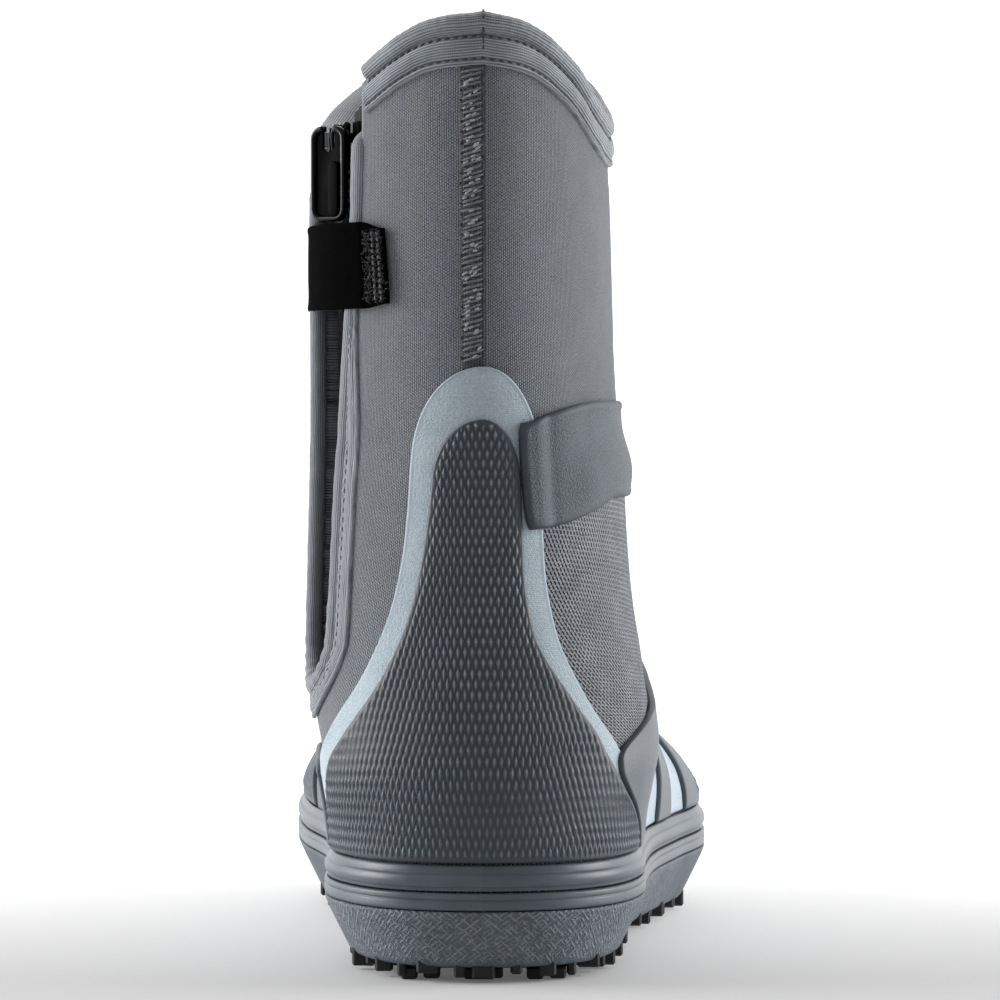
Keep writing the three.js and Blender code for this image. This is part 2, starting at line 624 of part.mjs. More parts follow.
// A heel piece: straight rows up to its shoulder, then rows on part of an ellipse to its top.
function heelSheet(which, shoulder, top, straight, rows) {
  return (a, b) => {
    const row = b * rows;
    let z = lerp(OVERLAY_FOOT, shoulder, Math.min(row / straight, 1));
    let half = heelEdge(z, which);
    if (row > straight) {
      const turn = ((row - straight) / (rows - straight)) * rad(76);
      z = shoulder + (top - shoulder) * Math.sin(turn);
      half = heelEdge(shoulder, which) * Math.cos(turn);
    }
    const angle = lerp(-half, half, a);
    return [angle, ringAt(angle, z)];
  };
}

function addHeel() {
  sheetOn("heel_trim", PALE_RUBBER, LAYERS.heelTrim, 12, 15, heelSheet(2, 132, 155, 10, 15));
  sheetOn("heel_counter", DARK_RUBBER, LAYERS.heelCounter, 12, 15, heelSheet(1, 126, 141.5, 10, 15));
}

// A slanted overlay on one side of the foot: angles in degrees at its foot and at its head, and the
// rings of its head's two corners.
const slanted = (side, foot, head, rings) => (a, b) => {
  const across = side > 0 ? a : 1 - a;
  const angle = rad(lerp(lerp(foot[0], foot[1], across), lerp(head[0], head[1], across), b));
  const low = ringAt(angle * side, OVERLAY_FOOT + spring(alongFoot(angle)));
  return [angle * side, lerp(low, lerp(rings[0], rings[1], across), b)];
};

function addSides() {
  const OUTER_RIBS = [
    { foot: [50, 64], head: [52, 74], rings: [4.4, 6.2] },
    { foot: [68, 76.5], head: [79, 89], rings: [5.8, 5.6] },
    { foot: [81, 97], head: [94, 108], rings: [5.2, 4.7] },
  ];
  const INNER_RIBS = [
    { foot: [50, 62], head: [54, 70], rings: [3.5, 4] },
    { foot: [67, 76], head: [77, 87], rings: [4, 4.2] },
    { foot: [81, 97], head: [94, 108], rings: [4.3, 4.5] },
  ];
  for (const [name, side, ribs] of [["outer", 1, OUTER_RIBS], ["inner", -1, INNER_RIBS]]) {
    const wrapHead = side > 0 ? [4.2, 5] : [3.3, 4.2];
    const wrap = slanted(side, [49.2, 99], [49.2, 112], wrapHead);
    sheetOn(name + "_side_wrap", PALE_RUBBER, LAYERS.sideWrap, 12, 5, wrap);
    ribs.forEach(({ foot, head, rings }, i) => {
      const where = slanted(side, foot, head, rings);
      sheetOn(name + "_rib_" + (i + 1), DARK_RUBBER, LAYERS.rib, 3, 5, where);
    });
  }
}

function addFront() {
  const cap = (a, b) => {
    const half = lerp(79, 60, b);
    const angle = rad(lerp(180 - half, 180 + half, a));
    const low = ringAt(angle, OVERLAY_FOOT + spring(alongFoot(angle)));
    return [angle, lerp(low, lerp(2.9, 3.3, Math.abs(2 * a - 1)), b)];
  };
  sheetOn("toe_cap", DARK_RUBBER, LAYERS.toeCap, 16, 4, cap);
  const pad = (a, b) => {
    const half = lerp(58, 44, b);
    return [rad(lerp(180 - half, 180 + half, a)), lerp(3.9, 7.4, b)];
  };
  sheetOn("instep_pad", DARK_RUBBER, LAYERS.instepPad, 12, 7, pad);
  const mesh = (a, b) => {
    const top = STRAP.low - 1.5;
    const bottomRing = lerp(4.85, 6.9, a);
    const start = (z) => heelEdge(z, 2) + rad(1.6);
    const probe = lerp(63, top, b);
    const angle = lerp(start(probe), rad(94), a);
    return [angle, lerp(bottomRing, ringAt(angle, top), b)];
  };
  sheetOn("mesh_panel", TWILL, LAYERS.meshPanel, 8, 6, mesh);
}

// ---- ankle strap ----
const strapWhere = (from, to, margin = 0) => (a, b) => {
  const angle = lerp(from(b), to, a);
  const t = alongFoot(angle);
  const low = STRAP.low + STRAP.climbLow * t + margin;
  const high = STRAP.high + STRAP.climbHigh * t - margin;
  return [angle, ringAt(angle, lerp(low, high, b))];
};

function addStrap() {
  const start = (b) => rad(lerp(17.9, 16, b));
  const steps = 14;
  const overTrim = (a) => 0.7 + 1.7 * (1 - smoothstep(a, 0.1, 0.18));
  const base = strapWhere(start, rad(STRAP.root - 1.5));
  const strapLayer = [(a) => overTrim(a) + STRAP_DEPTH, overTrim];
  sheetOn("ankle_strap", STRAP_RUBBER, strapLayer, steps, 2, base);
  const loop = strapWhere(() => rad(STRAP.root + 4), rad(STRAP.tip - 3), 1);
  sheetOn("strap_loop_patch", BLACK_WEB, LAYERS.strapLoop, 12, 1, loop);
  const flap = strapWhere(() => rad(STRAP.root + 1), rad(STRAP.tip));
  sheetOn("strap_flap", STRAP_RUBBER, LAYERS.strapFlap, 16, 1, flap);
  const hook = strapWhere(() => rad(STRAP.root + 40), rad(STRAP.tip - 2), 2);
  sheetOn("strap_hook_patch", BLACK_WEB, LAYERS.strapHook, 9, 1, hook);
}

addSole();
addTread();
addUpper();
addCollar();
addZipSlot();
addZip();
addGuard();
addHeel();
addSides();
addFront();
addStrap();

export default root;
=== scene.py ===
"""A right-foot deck boot: neoprene shaft with a side zip, rubber overlays, ankle strap, lugged sole.

Lengths in this script are millimetres in the boot's own axes: x to the outer side, y forward from
the heel, z up. to_frame() turns them into the row frame's metres.
"""

import math

import bpy
import numpy as np
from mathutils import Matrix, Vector


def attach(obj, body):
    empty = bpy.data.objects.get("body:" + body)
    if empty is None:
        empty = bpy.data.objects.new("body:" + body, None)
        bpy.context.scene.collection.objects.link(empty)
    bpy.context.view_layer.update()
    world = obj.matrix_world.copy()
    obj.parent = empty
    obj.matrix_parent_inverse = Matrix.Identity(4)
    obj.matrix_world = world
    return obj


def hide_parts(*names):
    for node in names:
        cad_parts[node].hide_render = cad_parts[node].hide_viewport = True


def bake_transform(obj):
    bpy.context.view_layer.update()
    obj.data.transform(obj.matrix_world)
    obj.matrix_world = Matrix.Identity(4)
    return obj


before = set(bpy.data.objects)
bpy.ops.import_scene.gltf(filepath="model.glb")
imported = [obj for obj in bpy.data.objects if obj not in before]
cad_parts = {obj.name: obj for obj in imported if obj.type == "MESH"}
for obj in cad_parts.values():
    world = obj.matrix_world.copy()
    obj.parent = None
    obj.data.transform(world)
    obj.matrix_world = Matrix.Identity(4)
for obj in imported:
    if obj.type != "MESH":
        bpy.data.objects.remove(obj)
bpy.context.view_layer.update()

# ---- the boot's surface, as its CAD source gives it ----
LENGTH = 300.0
HEEL_X, TOE_X = -4.2, -9.2
TOE_SPRING, SPRING_FROM = 10.0, 0.62
FOXING_DEPTH = 3.8
WALL = 4.5
OVERLAY_FOOT = 30.8
SOLE_WIDTHS = [
    [0, 0], [20.5, 20.5], [34, 33.5], [41.3, 40.8], [43.5, 41], [47.5, 40], [56, 43.5],
    [65, 50], [64.3, 52.5], [55.5, 48.5], [40.5, 38.5], [21.5, 21], [0, 0],
]
RINGS = [
    [16, 6, 27, 250, 48, 44, 43, 0],
    [30, 4, 39, 250, 48, 44, 43, 0],
    [39, 3, 46, 250, 48, 44, 43, 0.17],
    [48, 3.5, 53, 250, 48, 44, 43, 0.48],
    [57, 5.5, 59, 249, 49, 43.5, 43.2, 0.84],
    [67, 8, 66, 232, 51, 42, 44.2, 1],
    [79, 11.5, 76, 204, 54, 40.5, 44.2, 1],
    [93, 15.5, 92, 179, 56, 38.5, 43.8, 1],
    [112, 19, 115, 161, 58, 37, 43.4, 1],
    [138, 20.5, 148, 151, 62, 36, 43.2, 1],
    [170, 19.5, 182, 147.5, 64, 34.8, 43.2, 1],
    [205, 17, 213, 148, 65, 33.5, 43.2, 1],
    [232, 14.5, 238, 150, 66, 33, 43.1, 1],
    [250, 12.5, 256, 152, 67, 33, 43, 1],
]
RIM = [
    [245, 245], [242.5, 243], [235, 235], [225, 225], [221.5, 218], [226.5, 220.5], [235, 228.5],
    [239, 236.5], [240, 239.5], [240, 240],
]
# Heights and angles of the heel pieces' edges. Most rows of both tables are the output of a solver
# outside this script, not points chosen by hand.
HEEL_EDGES = [
    [30.8, 44.5, 48], [46, 42, 47.5], [54, 38.5, 45.5], [62, 32, 39], [71, 26.3, 33], [83, 21.8, 28.5],
    [95, 19, 25.6], [106, 17.4, 24.2], [118, 16.2, 23.6], [129, 15.4, 23.5], [135, 14.2, 23],
]
HEEL_EDGES_OUTER = [
    [30.8, 45, 49], [37, 42.8, 46], [43, 38, 42], [48, 33, 38], [56, 27.4, 32.6], [62, 25.2, 29.7],
    [68, 22.4, 26.9],
    [74.5, 19.4, 24.8], [81, 16.2, 22.8], [87.5, 14.1, 21.5], [100, 12.8, 20.5], [113, 13, 20.8],
    [126, 13, 21.3],
    [135, 12.4, 21.4],
]
SLOT = {"front": (72.5, 74.0), "z": (84.0, 215.0), "round": 12.0}
# Heights of the slot's back edge and its distance forward of the heel, read off a grid printed by a
# program outside this script.
SLOT_BACK = [
    [70, 39], [84, 42.5], [100, 46.3], [115, 48.3], [130, 48.8], [150, 47], [171, 43.8], [190, 40.4],
    [215, 37.5], [240, 35],
]
ZIP_Y, ZIP_Z = 59.0, 180.0
rad = math.radians


def lerp(a, b, t):
    return a + (b - a) * t


def smooth(x, low, high):
    t = np.clip((x - low) / (high - low), 0, 1)
    return t * t * (3 - 2 * t)


def unit(v):
    return v / np.maximum(np.linalg.norm(v, axis=-1, keepdims=True), 1e-12)


def table_at(rows, t):
    """A smooth curve through the rows of a table, as the CAD source runs it."""
    rows = np.asarray(rows, float)
    last = len(rows) - 1
    more = np.vstack([2 * rows[0] - rows[1], rows, 2 * rows[-1] - rows[-2]])
    i = np.clip(np.floor(t).astype(int), 0, last - 1)
    u = (t - i)[..., None]
    before, at, to, after = (more[i + k] for k in range(4))
    square = 2 * before - 5 * at + 4 * to - after
    cube = 3 * (at - to) + after - before
    return at + 0.5 * u * (to - before + u * (square + u * cube))


def along_foot(angle):
    return (1 - np.cos(angle)) / 2


def axis_x(t, share=1.0):
    return HEEL_X + (TOE_X - HEEL_X) * share * t * t


def spring(t):
    return TOE_SPRING * np.maximum(0, (t - SPRING_FROM) / (1 - SPRING_FROM)) ** 2


def sole_edge(angle, inset=0.0):
    """The sole's outline at an angle from the heel, moved inwards by inset."""

    def at(a):
        turn = np.arctan2(np.sin(a), np.cos(a))
        widths = table_at(SOLE_WIDTHS, np.abs(turn) / (np.pi / 12))
        t = along_foot(a)
        x = axis_x(t) + np.where(turn < 0, -widths[..., 1], widths[..., 0])
        return np.stack([x, LENGTH * t], -1)

    along = unit(at(angle + 1e-3) - at(angle - 1e-3))
    inwards = np.stack([-along[..., 1], along[..., 0]], -1)
    return at(angle) + inwards * np.asarray(inset)[..., None]


def surface(angle, ring):
    back_z, back_y, front_z, front_y, widest, outer, inner, round_ = np.moveaxis(
        table_at(RINGS, ring), -1, 0
    )
    t = along_foot(angle)
    depth = front_y - back_y
    y = depth * t
    reach = np.where(y < widest, (widest - y) / widest, (y - widest) / (depth - widest))
    side = np.where(np.sin(angle) < 0, -inner, outer)
    x = axis_x(t, 0.5) + side * np.sqrt(np.maximum(0, 1 - reach * reach))
    sole = sole_edge(angle, FOXING_DEPTH)
    z = back_z + (front_z - back_z) * t**4
    return np.stack(
        [lerp(sole[..., 0], x, round_), lerp(sole[..., 1], back_y + y, round_), z], -1
    )


def normal_at(angle, ring):
    around = surface(angle + 0.004, ring) - surface(angle - 0.004, ring)
    up = surface(angle, ring + 0.01) - surface(angle, ring - 0.01)
    return unit(np.cross(around, up))


def skin(angle, ring, off=0.0):
    """Points of the upper at angles round the boot and rings up it, off millimetres outwards."""
    angle, ring = np.broadcast_arrays(np.asarray(angle, float), np.asarray(ring, float))
    return surface(angle, ring) + normal_at(angle, ring) * np.asarray(off, float)[..., None]


def ring_at(angle, z):
    """The ring where the surface at an angle reaches height z."""
    angle, z = np.broadcast_arrays(np.asarray(angle, float), np.asarray(z, float))
    low, high = np.full(z.shape, -1.0), np.full(z.shape, len(RINGS) - 0.5)
    t4 = along_foot(angle) ** 4
    heights = np.asarray(RINGS, float)[:, [0, 2]]
    for _ in range(24):
        middle = (low + high) / 2
        back, front = np.moveaxis(table_at(heights, middle), -1, 0)
        under = back + (front - back) * t4 < z
        low, high = np.where(under, middle, low), np.where(under, high, middle)
    return (low + high) / 2


def rim_at(angle):
    turn = np.arctan2(np.sin(angle), np.cos(angle))
    rows = table_at(RIM, np.abs(turn) / (np.pi / 9))
    return np.where(turn < 0, rows[..., 1], rows[..., 0])


# Angles of the inner side on a grid of y and z, solved once and then looked up.
INNER_Y = np.arange(22.0, 104.1, 2.0)
INNER_Z = np.arange(56.0, 250.1, 2.0)


def solve_inner():
    y, z = np.meshgrid(INNER_Y, INNER_Z, indexing="ij")
    low, high = np.full(y.shape, 0.001), np.full(y.shape, 3.1)
    for _ in range(24):
        middle = (low + high) / 2
        behind = surface(-middle, ring_at(-middle, z))[..., 1] < y
        low, high = np.where(behind, middle, low), np.where(behind, high, middle)
    return -(low + high) / 2


INNER_ANGLE = solve_inner()


def inner_angle(y, z):
    """The angle where the inner side at height z lies y forward of the heel."""
    i = np.clip((y - INNER_Y[0]) / 2, 0, len(INNER_Y) - 1.001)
    j = np.clip((z - INNER_Z[0]) / 2, 0, len(INNER_Z) - 1.001)
    a, b = np.floor(i).astype(int), np.floor(j).astype(int)
    u, v = i - a, j - b
    low = lerp(INNER_ANGLE[a, b], INNER_ANGLE[a + 1, b], u)
    return lerp(low, lerp(INNER_ANGLE[a, b + 1], INNER_ANGLE[a + 1, b + 1], u), v)


def on_inner(y, z, off=0.0):
    angle = inner_angle(np.asarray(y, float), np.asarray(z, float))
    return skin(angle, ring_at(angle, z), off)


def heel_edge(z, which, outer=False):
    """The angle of a heel piece's edge at a height; which is 1 for the counter, 2 for the trim."""
    rows = np.asarray(HEEL_EDGES_OUTER if outer else HEEL_EDGES)
    t = np.linspace(0, len(rows) - 1, 200)
    curve = table_at(rows, t)
    return np.radians(np.interp(z, curve[:, 0], curve[:, which]))


def slot_sides(z):
    """How far forward the slot's back and front edges lie at a height."""
    curve = table_at(SLOT_BACK, np.linspace(0, len(SLOT_BACK) - 1, 200))
    low_z, high_z = SLOT["z"]
    lean = np.clip((z - low_z) / (high_z - low_z), 0, 1.15)
    return np.interp(z, curve[:, 0], curve[:, 1]), lerp(*SLOT["front"], lean)


def slot_edge(share, outset=0.0, top=228.0):
    """The slot's edge as y and z: down its back, round its foot (0.4 to 0.6) and up its front."""
    share = np.asarray(share, float)
    low_z = SLOT["z"][0]
    down = lerp(top, low_z, np.clip(share / 0.4, 0, 1))
    up = lerp(low_z, top, np.clip((share - 0.6) / 0.4, 0, 1))
    turn = np.pi * (1 + (share - 0.4) / 0.2)
    back, front = slot_sides(low_z)
    y = (back + front) / 2 + ((front - back) / 2 + outset) * np.cos(turn)
    z = low_z + (SLOT["round"] + outset) * np.sin(turn)
    y = np.where(share < 0.4, slot_sides(down)[0] - outset, y)
    y = np.where(share > 0.6, slot_sides(up)[1] + outset, y)
    z = np.where(share < 0.4, down, z)
    return y, np.where(share > 0.6, up, z)


def to_frame(points):
    """Millimetres in the boot's axes to metres in the row frame."""
    return (np.asarray(points, float) - [0, LENGTH / 2, 0]) / 1000


def waves(u, v, size, seed):
    """Soft hills of about one size in millimetres, between -1 and 1."""
    rng = np.random.default_rng(seed)
    total = np.zeros(np.broadcast(u, v).shape)
    for _ in range(6):
        turn, phase = rng.uniform(0, 2 * np.pi, 2)
        length = size * rng.uniform(0.7, 1.6)
        along = (u * np.cos(turn) + v * np.sin(turn)) * 2 * np.pi / length
        total += np.sin(along + phase)
    return total / 3.5


# ---- meshes ----
def make_mesh(name, points, faces, uvs, material, values=None, sharp=None):
    """A mesh object of polygons of any size. uvs has one array for each array in faces, in mm."""
    mesh = bpy.data.meshes.new(name)
    totals = np.concatenate([np.full(len(f), f.shape[1], np.int32) for f in faces])
    loops = np.concatenate([f.ravel() for f in faces]).astype(np.int32)
    starts = np.concatenate([[0], np.cumsum(totals)[:-1]]).astype(np.int32)
    mesh.vertices.add(len(points))
    mesh.vertices.foreach_set("co", to_frame(points).astype(np.float32).ravel())
    mesh.loops.add(len(loops))
    mesh.loops.foreach_set("vertex_index", loops)
    mesh.polygons.add(len(totals))
    mesh.polygons.foreach_set("loop_start", starts)
    mesh.polygons.foreach_set("loop_total", totals)
    mesh.polygons.foreach_set("use_smooth", np.ones(len(totals), bool))
    layer = mesh.uv_layers.new(name="mm")
    flat = np.concatenate([np.asarray(u, np.float32).reshape(-1, 2) for u in uvs])
    layer.data.foreach_set("uv", flat.ravel())
    for key, value in (values or {}).items():
        made = mesh.attributes.new(key, "FLOAT", "POINT")
        made.data.foreach_set("value", np.asarray(value, np.float32).ravel())
    mesh.update(calc_edges=True)
    mesh.validate()
    if sharp:
        mesh.set_sharp_from_angle(angle=rad(sharp))
    mesh.materials.append(material)
    piece = bpy.data.objects.new(name, mesh)
    bpy.context.scene.collection.objects.link(piece)
    return piece


def place(piece, body, slot, *nodes):
    """Puts a finished piece on its body and hides the CAD nodes that it stands for. slot is not used."""
    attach(piece, body)
    if nodes:
        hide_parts(*nodes)
    return piece


def solid(name, front, back, uv, material, keep=None, step=1, values=None):
    """A closed body between two grids of points. back has every step-th column and row of front,
    and keep says which cells are there."""
    n, m = front.shape[0] - 1, front.shape[1] - 1
    front_id = np.arange(front.shape[0] * (m + 1)).reshape(-1, m + 1)
    bn, bm = back.shape[0], back.shape[1]
    back_id = front_id.size + np.arange(bn * bm).reshape(bn, bm)
    grid_i, grid_j = np.meshgrid(np.arange(n), np.arange(m), indexing="ij")

    def quads(ids, i, j, di, dj, flip=False):
        corners = [ids[i, j], ids[i + di, j], ids[i + di, j + dj], ids[i, j + dj]]
        return np.stack(corners[::-1] if flip else corners, -1)

    def quad_uv(i, j, di, dj, flip=False):
        corners = [uv[i, j], uv[i + di, j], uv[i + di, j + dj], uv[i, j + dj]]
        return np.stack(corners[::-1] if flip else corners, -2)

    if keep is None:
        keep = np.ones((n, m), bool)
    i, j = grid_i[keep], grid_j[keep]
    faces, uvs = [quads(front_id, i, j, 1, 1)], [quad_uv(i, j, 1, 1)]
    if step == 1:
        faces.append(quads(back_id, i, j, 1, 1, True))
        uvs.append(quad_uv(i, j, 1, 1, True))
        left = keep & ~np.pad(keep, ((1, 0), (0, 0)))[:-1]
        right = keep & ~np.pad(keep, ((0, 1), (0, 0)))[1:]
        low = keep & ~np.pad(keep, ((0, 0), (1, 0)))[:, :-1]
        high = keep & ~np.pad(keep, ((0, 0), (0, 1)))[:, 1:]
        for where, (ai, aj), (bi, bj) in (
            (left, (0, 1), (0, 0)), (right, (1, 0), (1, 1)), (low, (0, 0), (1, 0)), (high, (1, 1), (0, 1)),
        ):
            i, j = grid_i[where], grid_j[where]
            a, b = (i + ai, j + aj), (i + bi, j + bj)
            faces.append(np.stack([front_id[b], front_id[a], back_id[a], back_id[b]], -1))
            uva, uvb = uv[i + ai, j + aj], uv[i + bi, j + bj]
            uvs.append(np.stack([uvb, uva, uva, uvb], -2))
    else:
        i, j = (k.ravel() for k in np.meshgrid(np.arange(bn - 1), np.arange(bm - 1), indexing="ij"))
        faces.append(quads(back_id, i, j, 1, 1, True))
        coarse = uv[::step, ::step]
        corners = [coarse[i, j], coarse[i + 1, j], coarse[i + 1, j + 1], coarse[i, j + 1]]
        uvs.append(np.stack(corners[::-1], -2))
        fine = np.arange(step + 1)

        def wall(line, back_line, line_uv):
            k = np.arange(len(back_line) - 1)
            runs = line[k[:, None] * step + fine]
            faces.append(np.concatenate([runs[:, ::-1], back_line[k][:, None], back_line[k + 1][:, None]], 1))
            run_uv = line_uv[k[:, None] * step + fine]
            uvs.append(np.concatenate([run_uv[:, ::-1], run_uv[:, :1], run_uv[:, -1:]], 1))

        wall(front_id[:, 0], back_id[:, 0], uv[:, 0])
        wall(front_id[::-1, -1], back_id[::-1, -1], uv[::-1, -1])
        wall(front_id[0, ::-1], back_id[0, ::-1], uv[0, ::-1])
        wall(front_id[-1], back_id[-1], uv[-1])
    points = np.concatenate([front.reshape(-1, 3), back.reshape(-1, 3)])
    used = np.unique(np.concatenate([f.ravel() for f in faces]))
    renumber = np.full(len(points), -1)
    renumber[used] = np.arange(len(used))
    stored = {}
    for key, value in (values or {}).items():
        both = np.concatenate([value.ravel(), value[::step, ::step].ravel()])
        stored[key] = both[used]
    return make_mesh(name, points[used], [renumber[f] for f in faces], uvs, material, stored)


def knots(length, cell, radius):
    """Places from 0 to 1 along a length, closer together over the rounded edge at both ends."""
    edge = np.array([0, 0.08, 0.3, 0.62, 1.0]) * radius
    inner = length - 2 * radius
    count = max(2, int(round(inner / cell)))
    middle = radius + inner * np.arange(1, count) / count
    return np.concatenate([edge, middle, length - edge[::-1]]) / length


def arc(points, axis):
    steps = np.linalg.norm(np.diff(points, axis=axis), axis=-1)
    start = np.zeros_like(np.take(steps, [0], axis=axis))
    return np.concatenate([start, np.cumsum(steps, axis=axis)], axis=axis)


def overlay(name, where, outer, inner, material, cell=1.2, radius=0.5, relief=None, step=1, upright=False):
    """A sheet on the boot with rounded edges. where(a, b) gives its angle and ring; outer and inner
    are its faces' distances off the surface; relief(u, v, edge, a, b) gives the face's own shape as
    a height in millimetres, with u and v in millimetres over the sheet and edge the distance in
    from its outline. Returns the piece; its mesh keeps edge and crest as attributes."""
    probe = np.linspace(0, 1, 9)
    rough = skin(*where(*np.meshgrid(probe, probe, indexing="ij")))
    across = arc(rough, 0)[-1].max()
    along = arc(rough, 1)[:, -1].mean()
    cell = np.broadcast_to(cell, 2)
    ka, kb = knots(across, float(cell[0]), radius), knots(along, float(cell[1]), radius)
    if step > 1:
        ka, kb = (np.interp(np.linspace(0, 1, step * math.ceil((len(k) - 1) / step) + 1),
                            np.linspace(0, 1, len(k)), k) for k in (ka, kb))
    a, b = np.meshgrid(ka, kb, indexing="ij")
    angle, ring = where(a, b)
    base = surface(angle, ring)
    up = normal_at(angle, ring)
    la, lb = arc(base, 0), arc(base, 1)
    edge = np.minimum(np.minimum(la, la[-1] - la), np.minimum(lb, lb[:, -1:] - lb))
    u = la - la[-1] / 2
    v = base[..., 2] if upright else lb
    off_out = outer(a, b) if callable(outer) else np.full(a.shape, float(outer))
    off_in = inner(a, b) if callable(inner) else np.full(a.shape, float(inner))
    height = relief(u, v, edge, a, b) if relief else np.zeros(a.shape)
    inset = np.clip(radius - edge, 0, radius)
    drop = radius - np.sqrt(np.maximum(radius**2 - inset**2, 0))
    front = base + up * (off_out + height - drop)[..., None]
    back = (base + up * off_in[..., None])[::step, ::step]
    values = {"edge": edge, "crest": height}
    return solid(name, front, back, np.stack([u, v], -1), material, step=step, values=values)


def frames_along(path, start):
    """Two unit vectors across a path at each of its points, the first starting near start."""
    tangent = unit(np.gradient(path, axis=0))
    first = np.empty_like(path)
    across = np.asarray(start, float)
    for k, t in enumerate(tangent):
        across = across - np.dot(across, t) * t
        across = across / np.linalg.norm(across)
        first[k] = across
    return first, np.cross(tangent, first)


def swept(name, path, section, material, across=None, start=(0, 0, 1), sharp=None):
    """A closed section carried along a path. section is (n, k, 2) or (k, 2): distances along the
    path's across vector and along the second one; across overrides the frames' first vector."""
    if across is None:
        first, second = frames_along(path, start)
    else:
        tangent = unit(np.gradient(path, axis=0))
        first = unit(across - np.sum(across * tangent, -1, keepdims=True) * tangent)
        second = np.cross(tangent, first)
    section = np.broadcast_to(section, (len(path), *np.shape(section)[-2:]))
    ring = path[:, None] + first[:, None] * section[..., :1] + second[:, None] * section[..., 1:]
    n, k = ring.shape[:2]
    ids = np.arange(n * k).reshape(n, k)
    i, j = (x.ravel() for x in np.meshgrid(np.arange(n - 1), np.arange(k), indexing="ij"))
    jn = (j + 1) % k
    faces = [np.stack([ids[i, j], ids[i + 1, j], ids[i + 1, jn], ids[i, jn]], -1)]
    u = arc(path, 0)
    closed = np.concatenate([ring[n // 2], ring[n // 2][:1]])
    v = arc(closed, 0)
    uvs = [np.stack([np.stack([u[i + p], v[j + q]], -1) for p, q in ((0, 0), (1, 0), (1, 1), (0, 1))], -2)]
    faces += [ids[0][None, :], ids[-1][None, ::-1]]
    flat = np.stack([np.zeros(k), v[:-1]], -1)
    uvs += [flat[None], flat[None, ::-1]]
    return make_mesh(name, ring.reshape(-1, 3), faces, uvs, material, sharp=sharp)


def circle(sides, radius=1.0, other=None):
    turn = np.arange(sides) / sides * 2 * np.pi
    return np.stack([np.cos(turn) * radius, np.sin(turn) * (other or radius)], -1)


def threads(name, starts, ends, normals, radius, material, arch=0.5, sides=6, rings=6):
    """Short lengths of thread, each bowed outwards by arch and sunk at its two ends."""
    t = np.linspace(0, 1, rings)
    bow = np.sin(np.pi * t) ** 0.7
    taper = np.clip(np.sin(np.pi * np.clip(t, 0.04, 0.96)) * 2.2, 0.25, 1)
    along = unit(ends - starts)
    side = unit(np.cross(along, normals))
    up = np.cross(side, along)
    centre = lerp(starts[:, None], ends[:, None], t[None, :, None])
    centre = centre + up[:, None] * (arch * bow - arch * 0.35)[None, :, None]
    ring = circle(sides, radius)
    points = (
        centre[:, :, None]
        + side[:, None, None] * (ring[:, 0] * taper[:, None])[None, :, :, None]
        + up[:, None, None] * (ring[:, 1] * taper[:, None])[None, :, :, None]
    )
    count = len(starts)
    ids = np.arange(count * rings * sides).reshape(count, rings, sides)
    nexts = np.roll(ids, -1, 2)
    body = np.stack([ids[:, :-1], nexts[:, :-1], nexts[:, 1:], ids[:, 1:]], -1).reshape(-1, 4)
    body = body[:, ::-1]
    caps = [ids[:, 0], ids[:, -1, ::-1]]
    length = np.linalg.norm(ends - starts, axis=-1).mean()
    u = np.broadcast_to(t[None, :, None] * length, ids.shape)
    v = np.broadcast_to(np.arange(sides)[None, None] * radius, ids.shape)
    flat = np.stack([u, v], -1).reshape(-1, 2)
    faces = [body, *caps]
    return make_mesh(name, points.reshape(-1, 3), faces, [flat[f] for f in faces], material)


def stitch_row(name, path, normals, pitch, length, radius, material, arch=0.45):
    """A row of stitches along a path."""
    along = arc(path, 0)
    first = np.arange(pitch * 0.4, along[-1] - length, pitch)

    def at(s, values):
        return np.stack([np.interp(s, along, values[:, k]) for k in range(3)], -1)

    return threads(name, at(first, path), at(first + length, path), at(first, normals), radius, material,
                   arch)


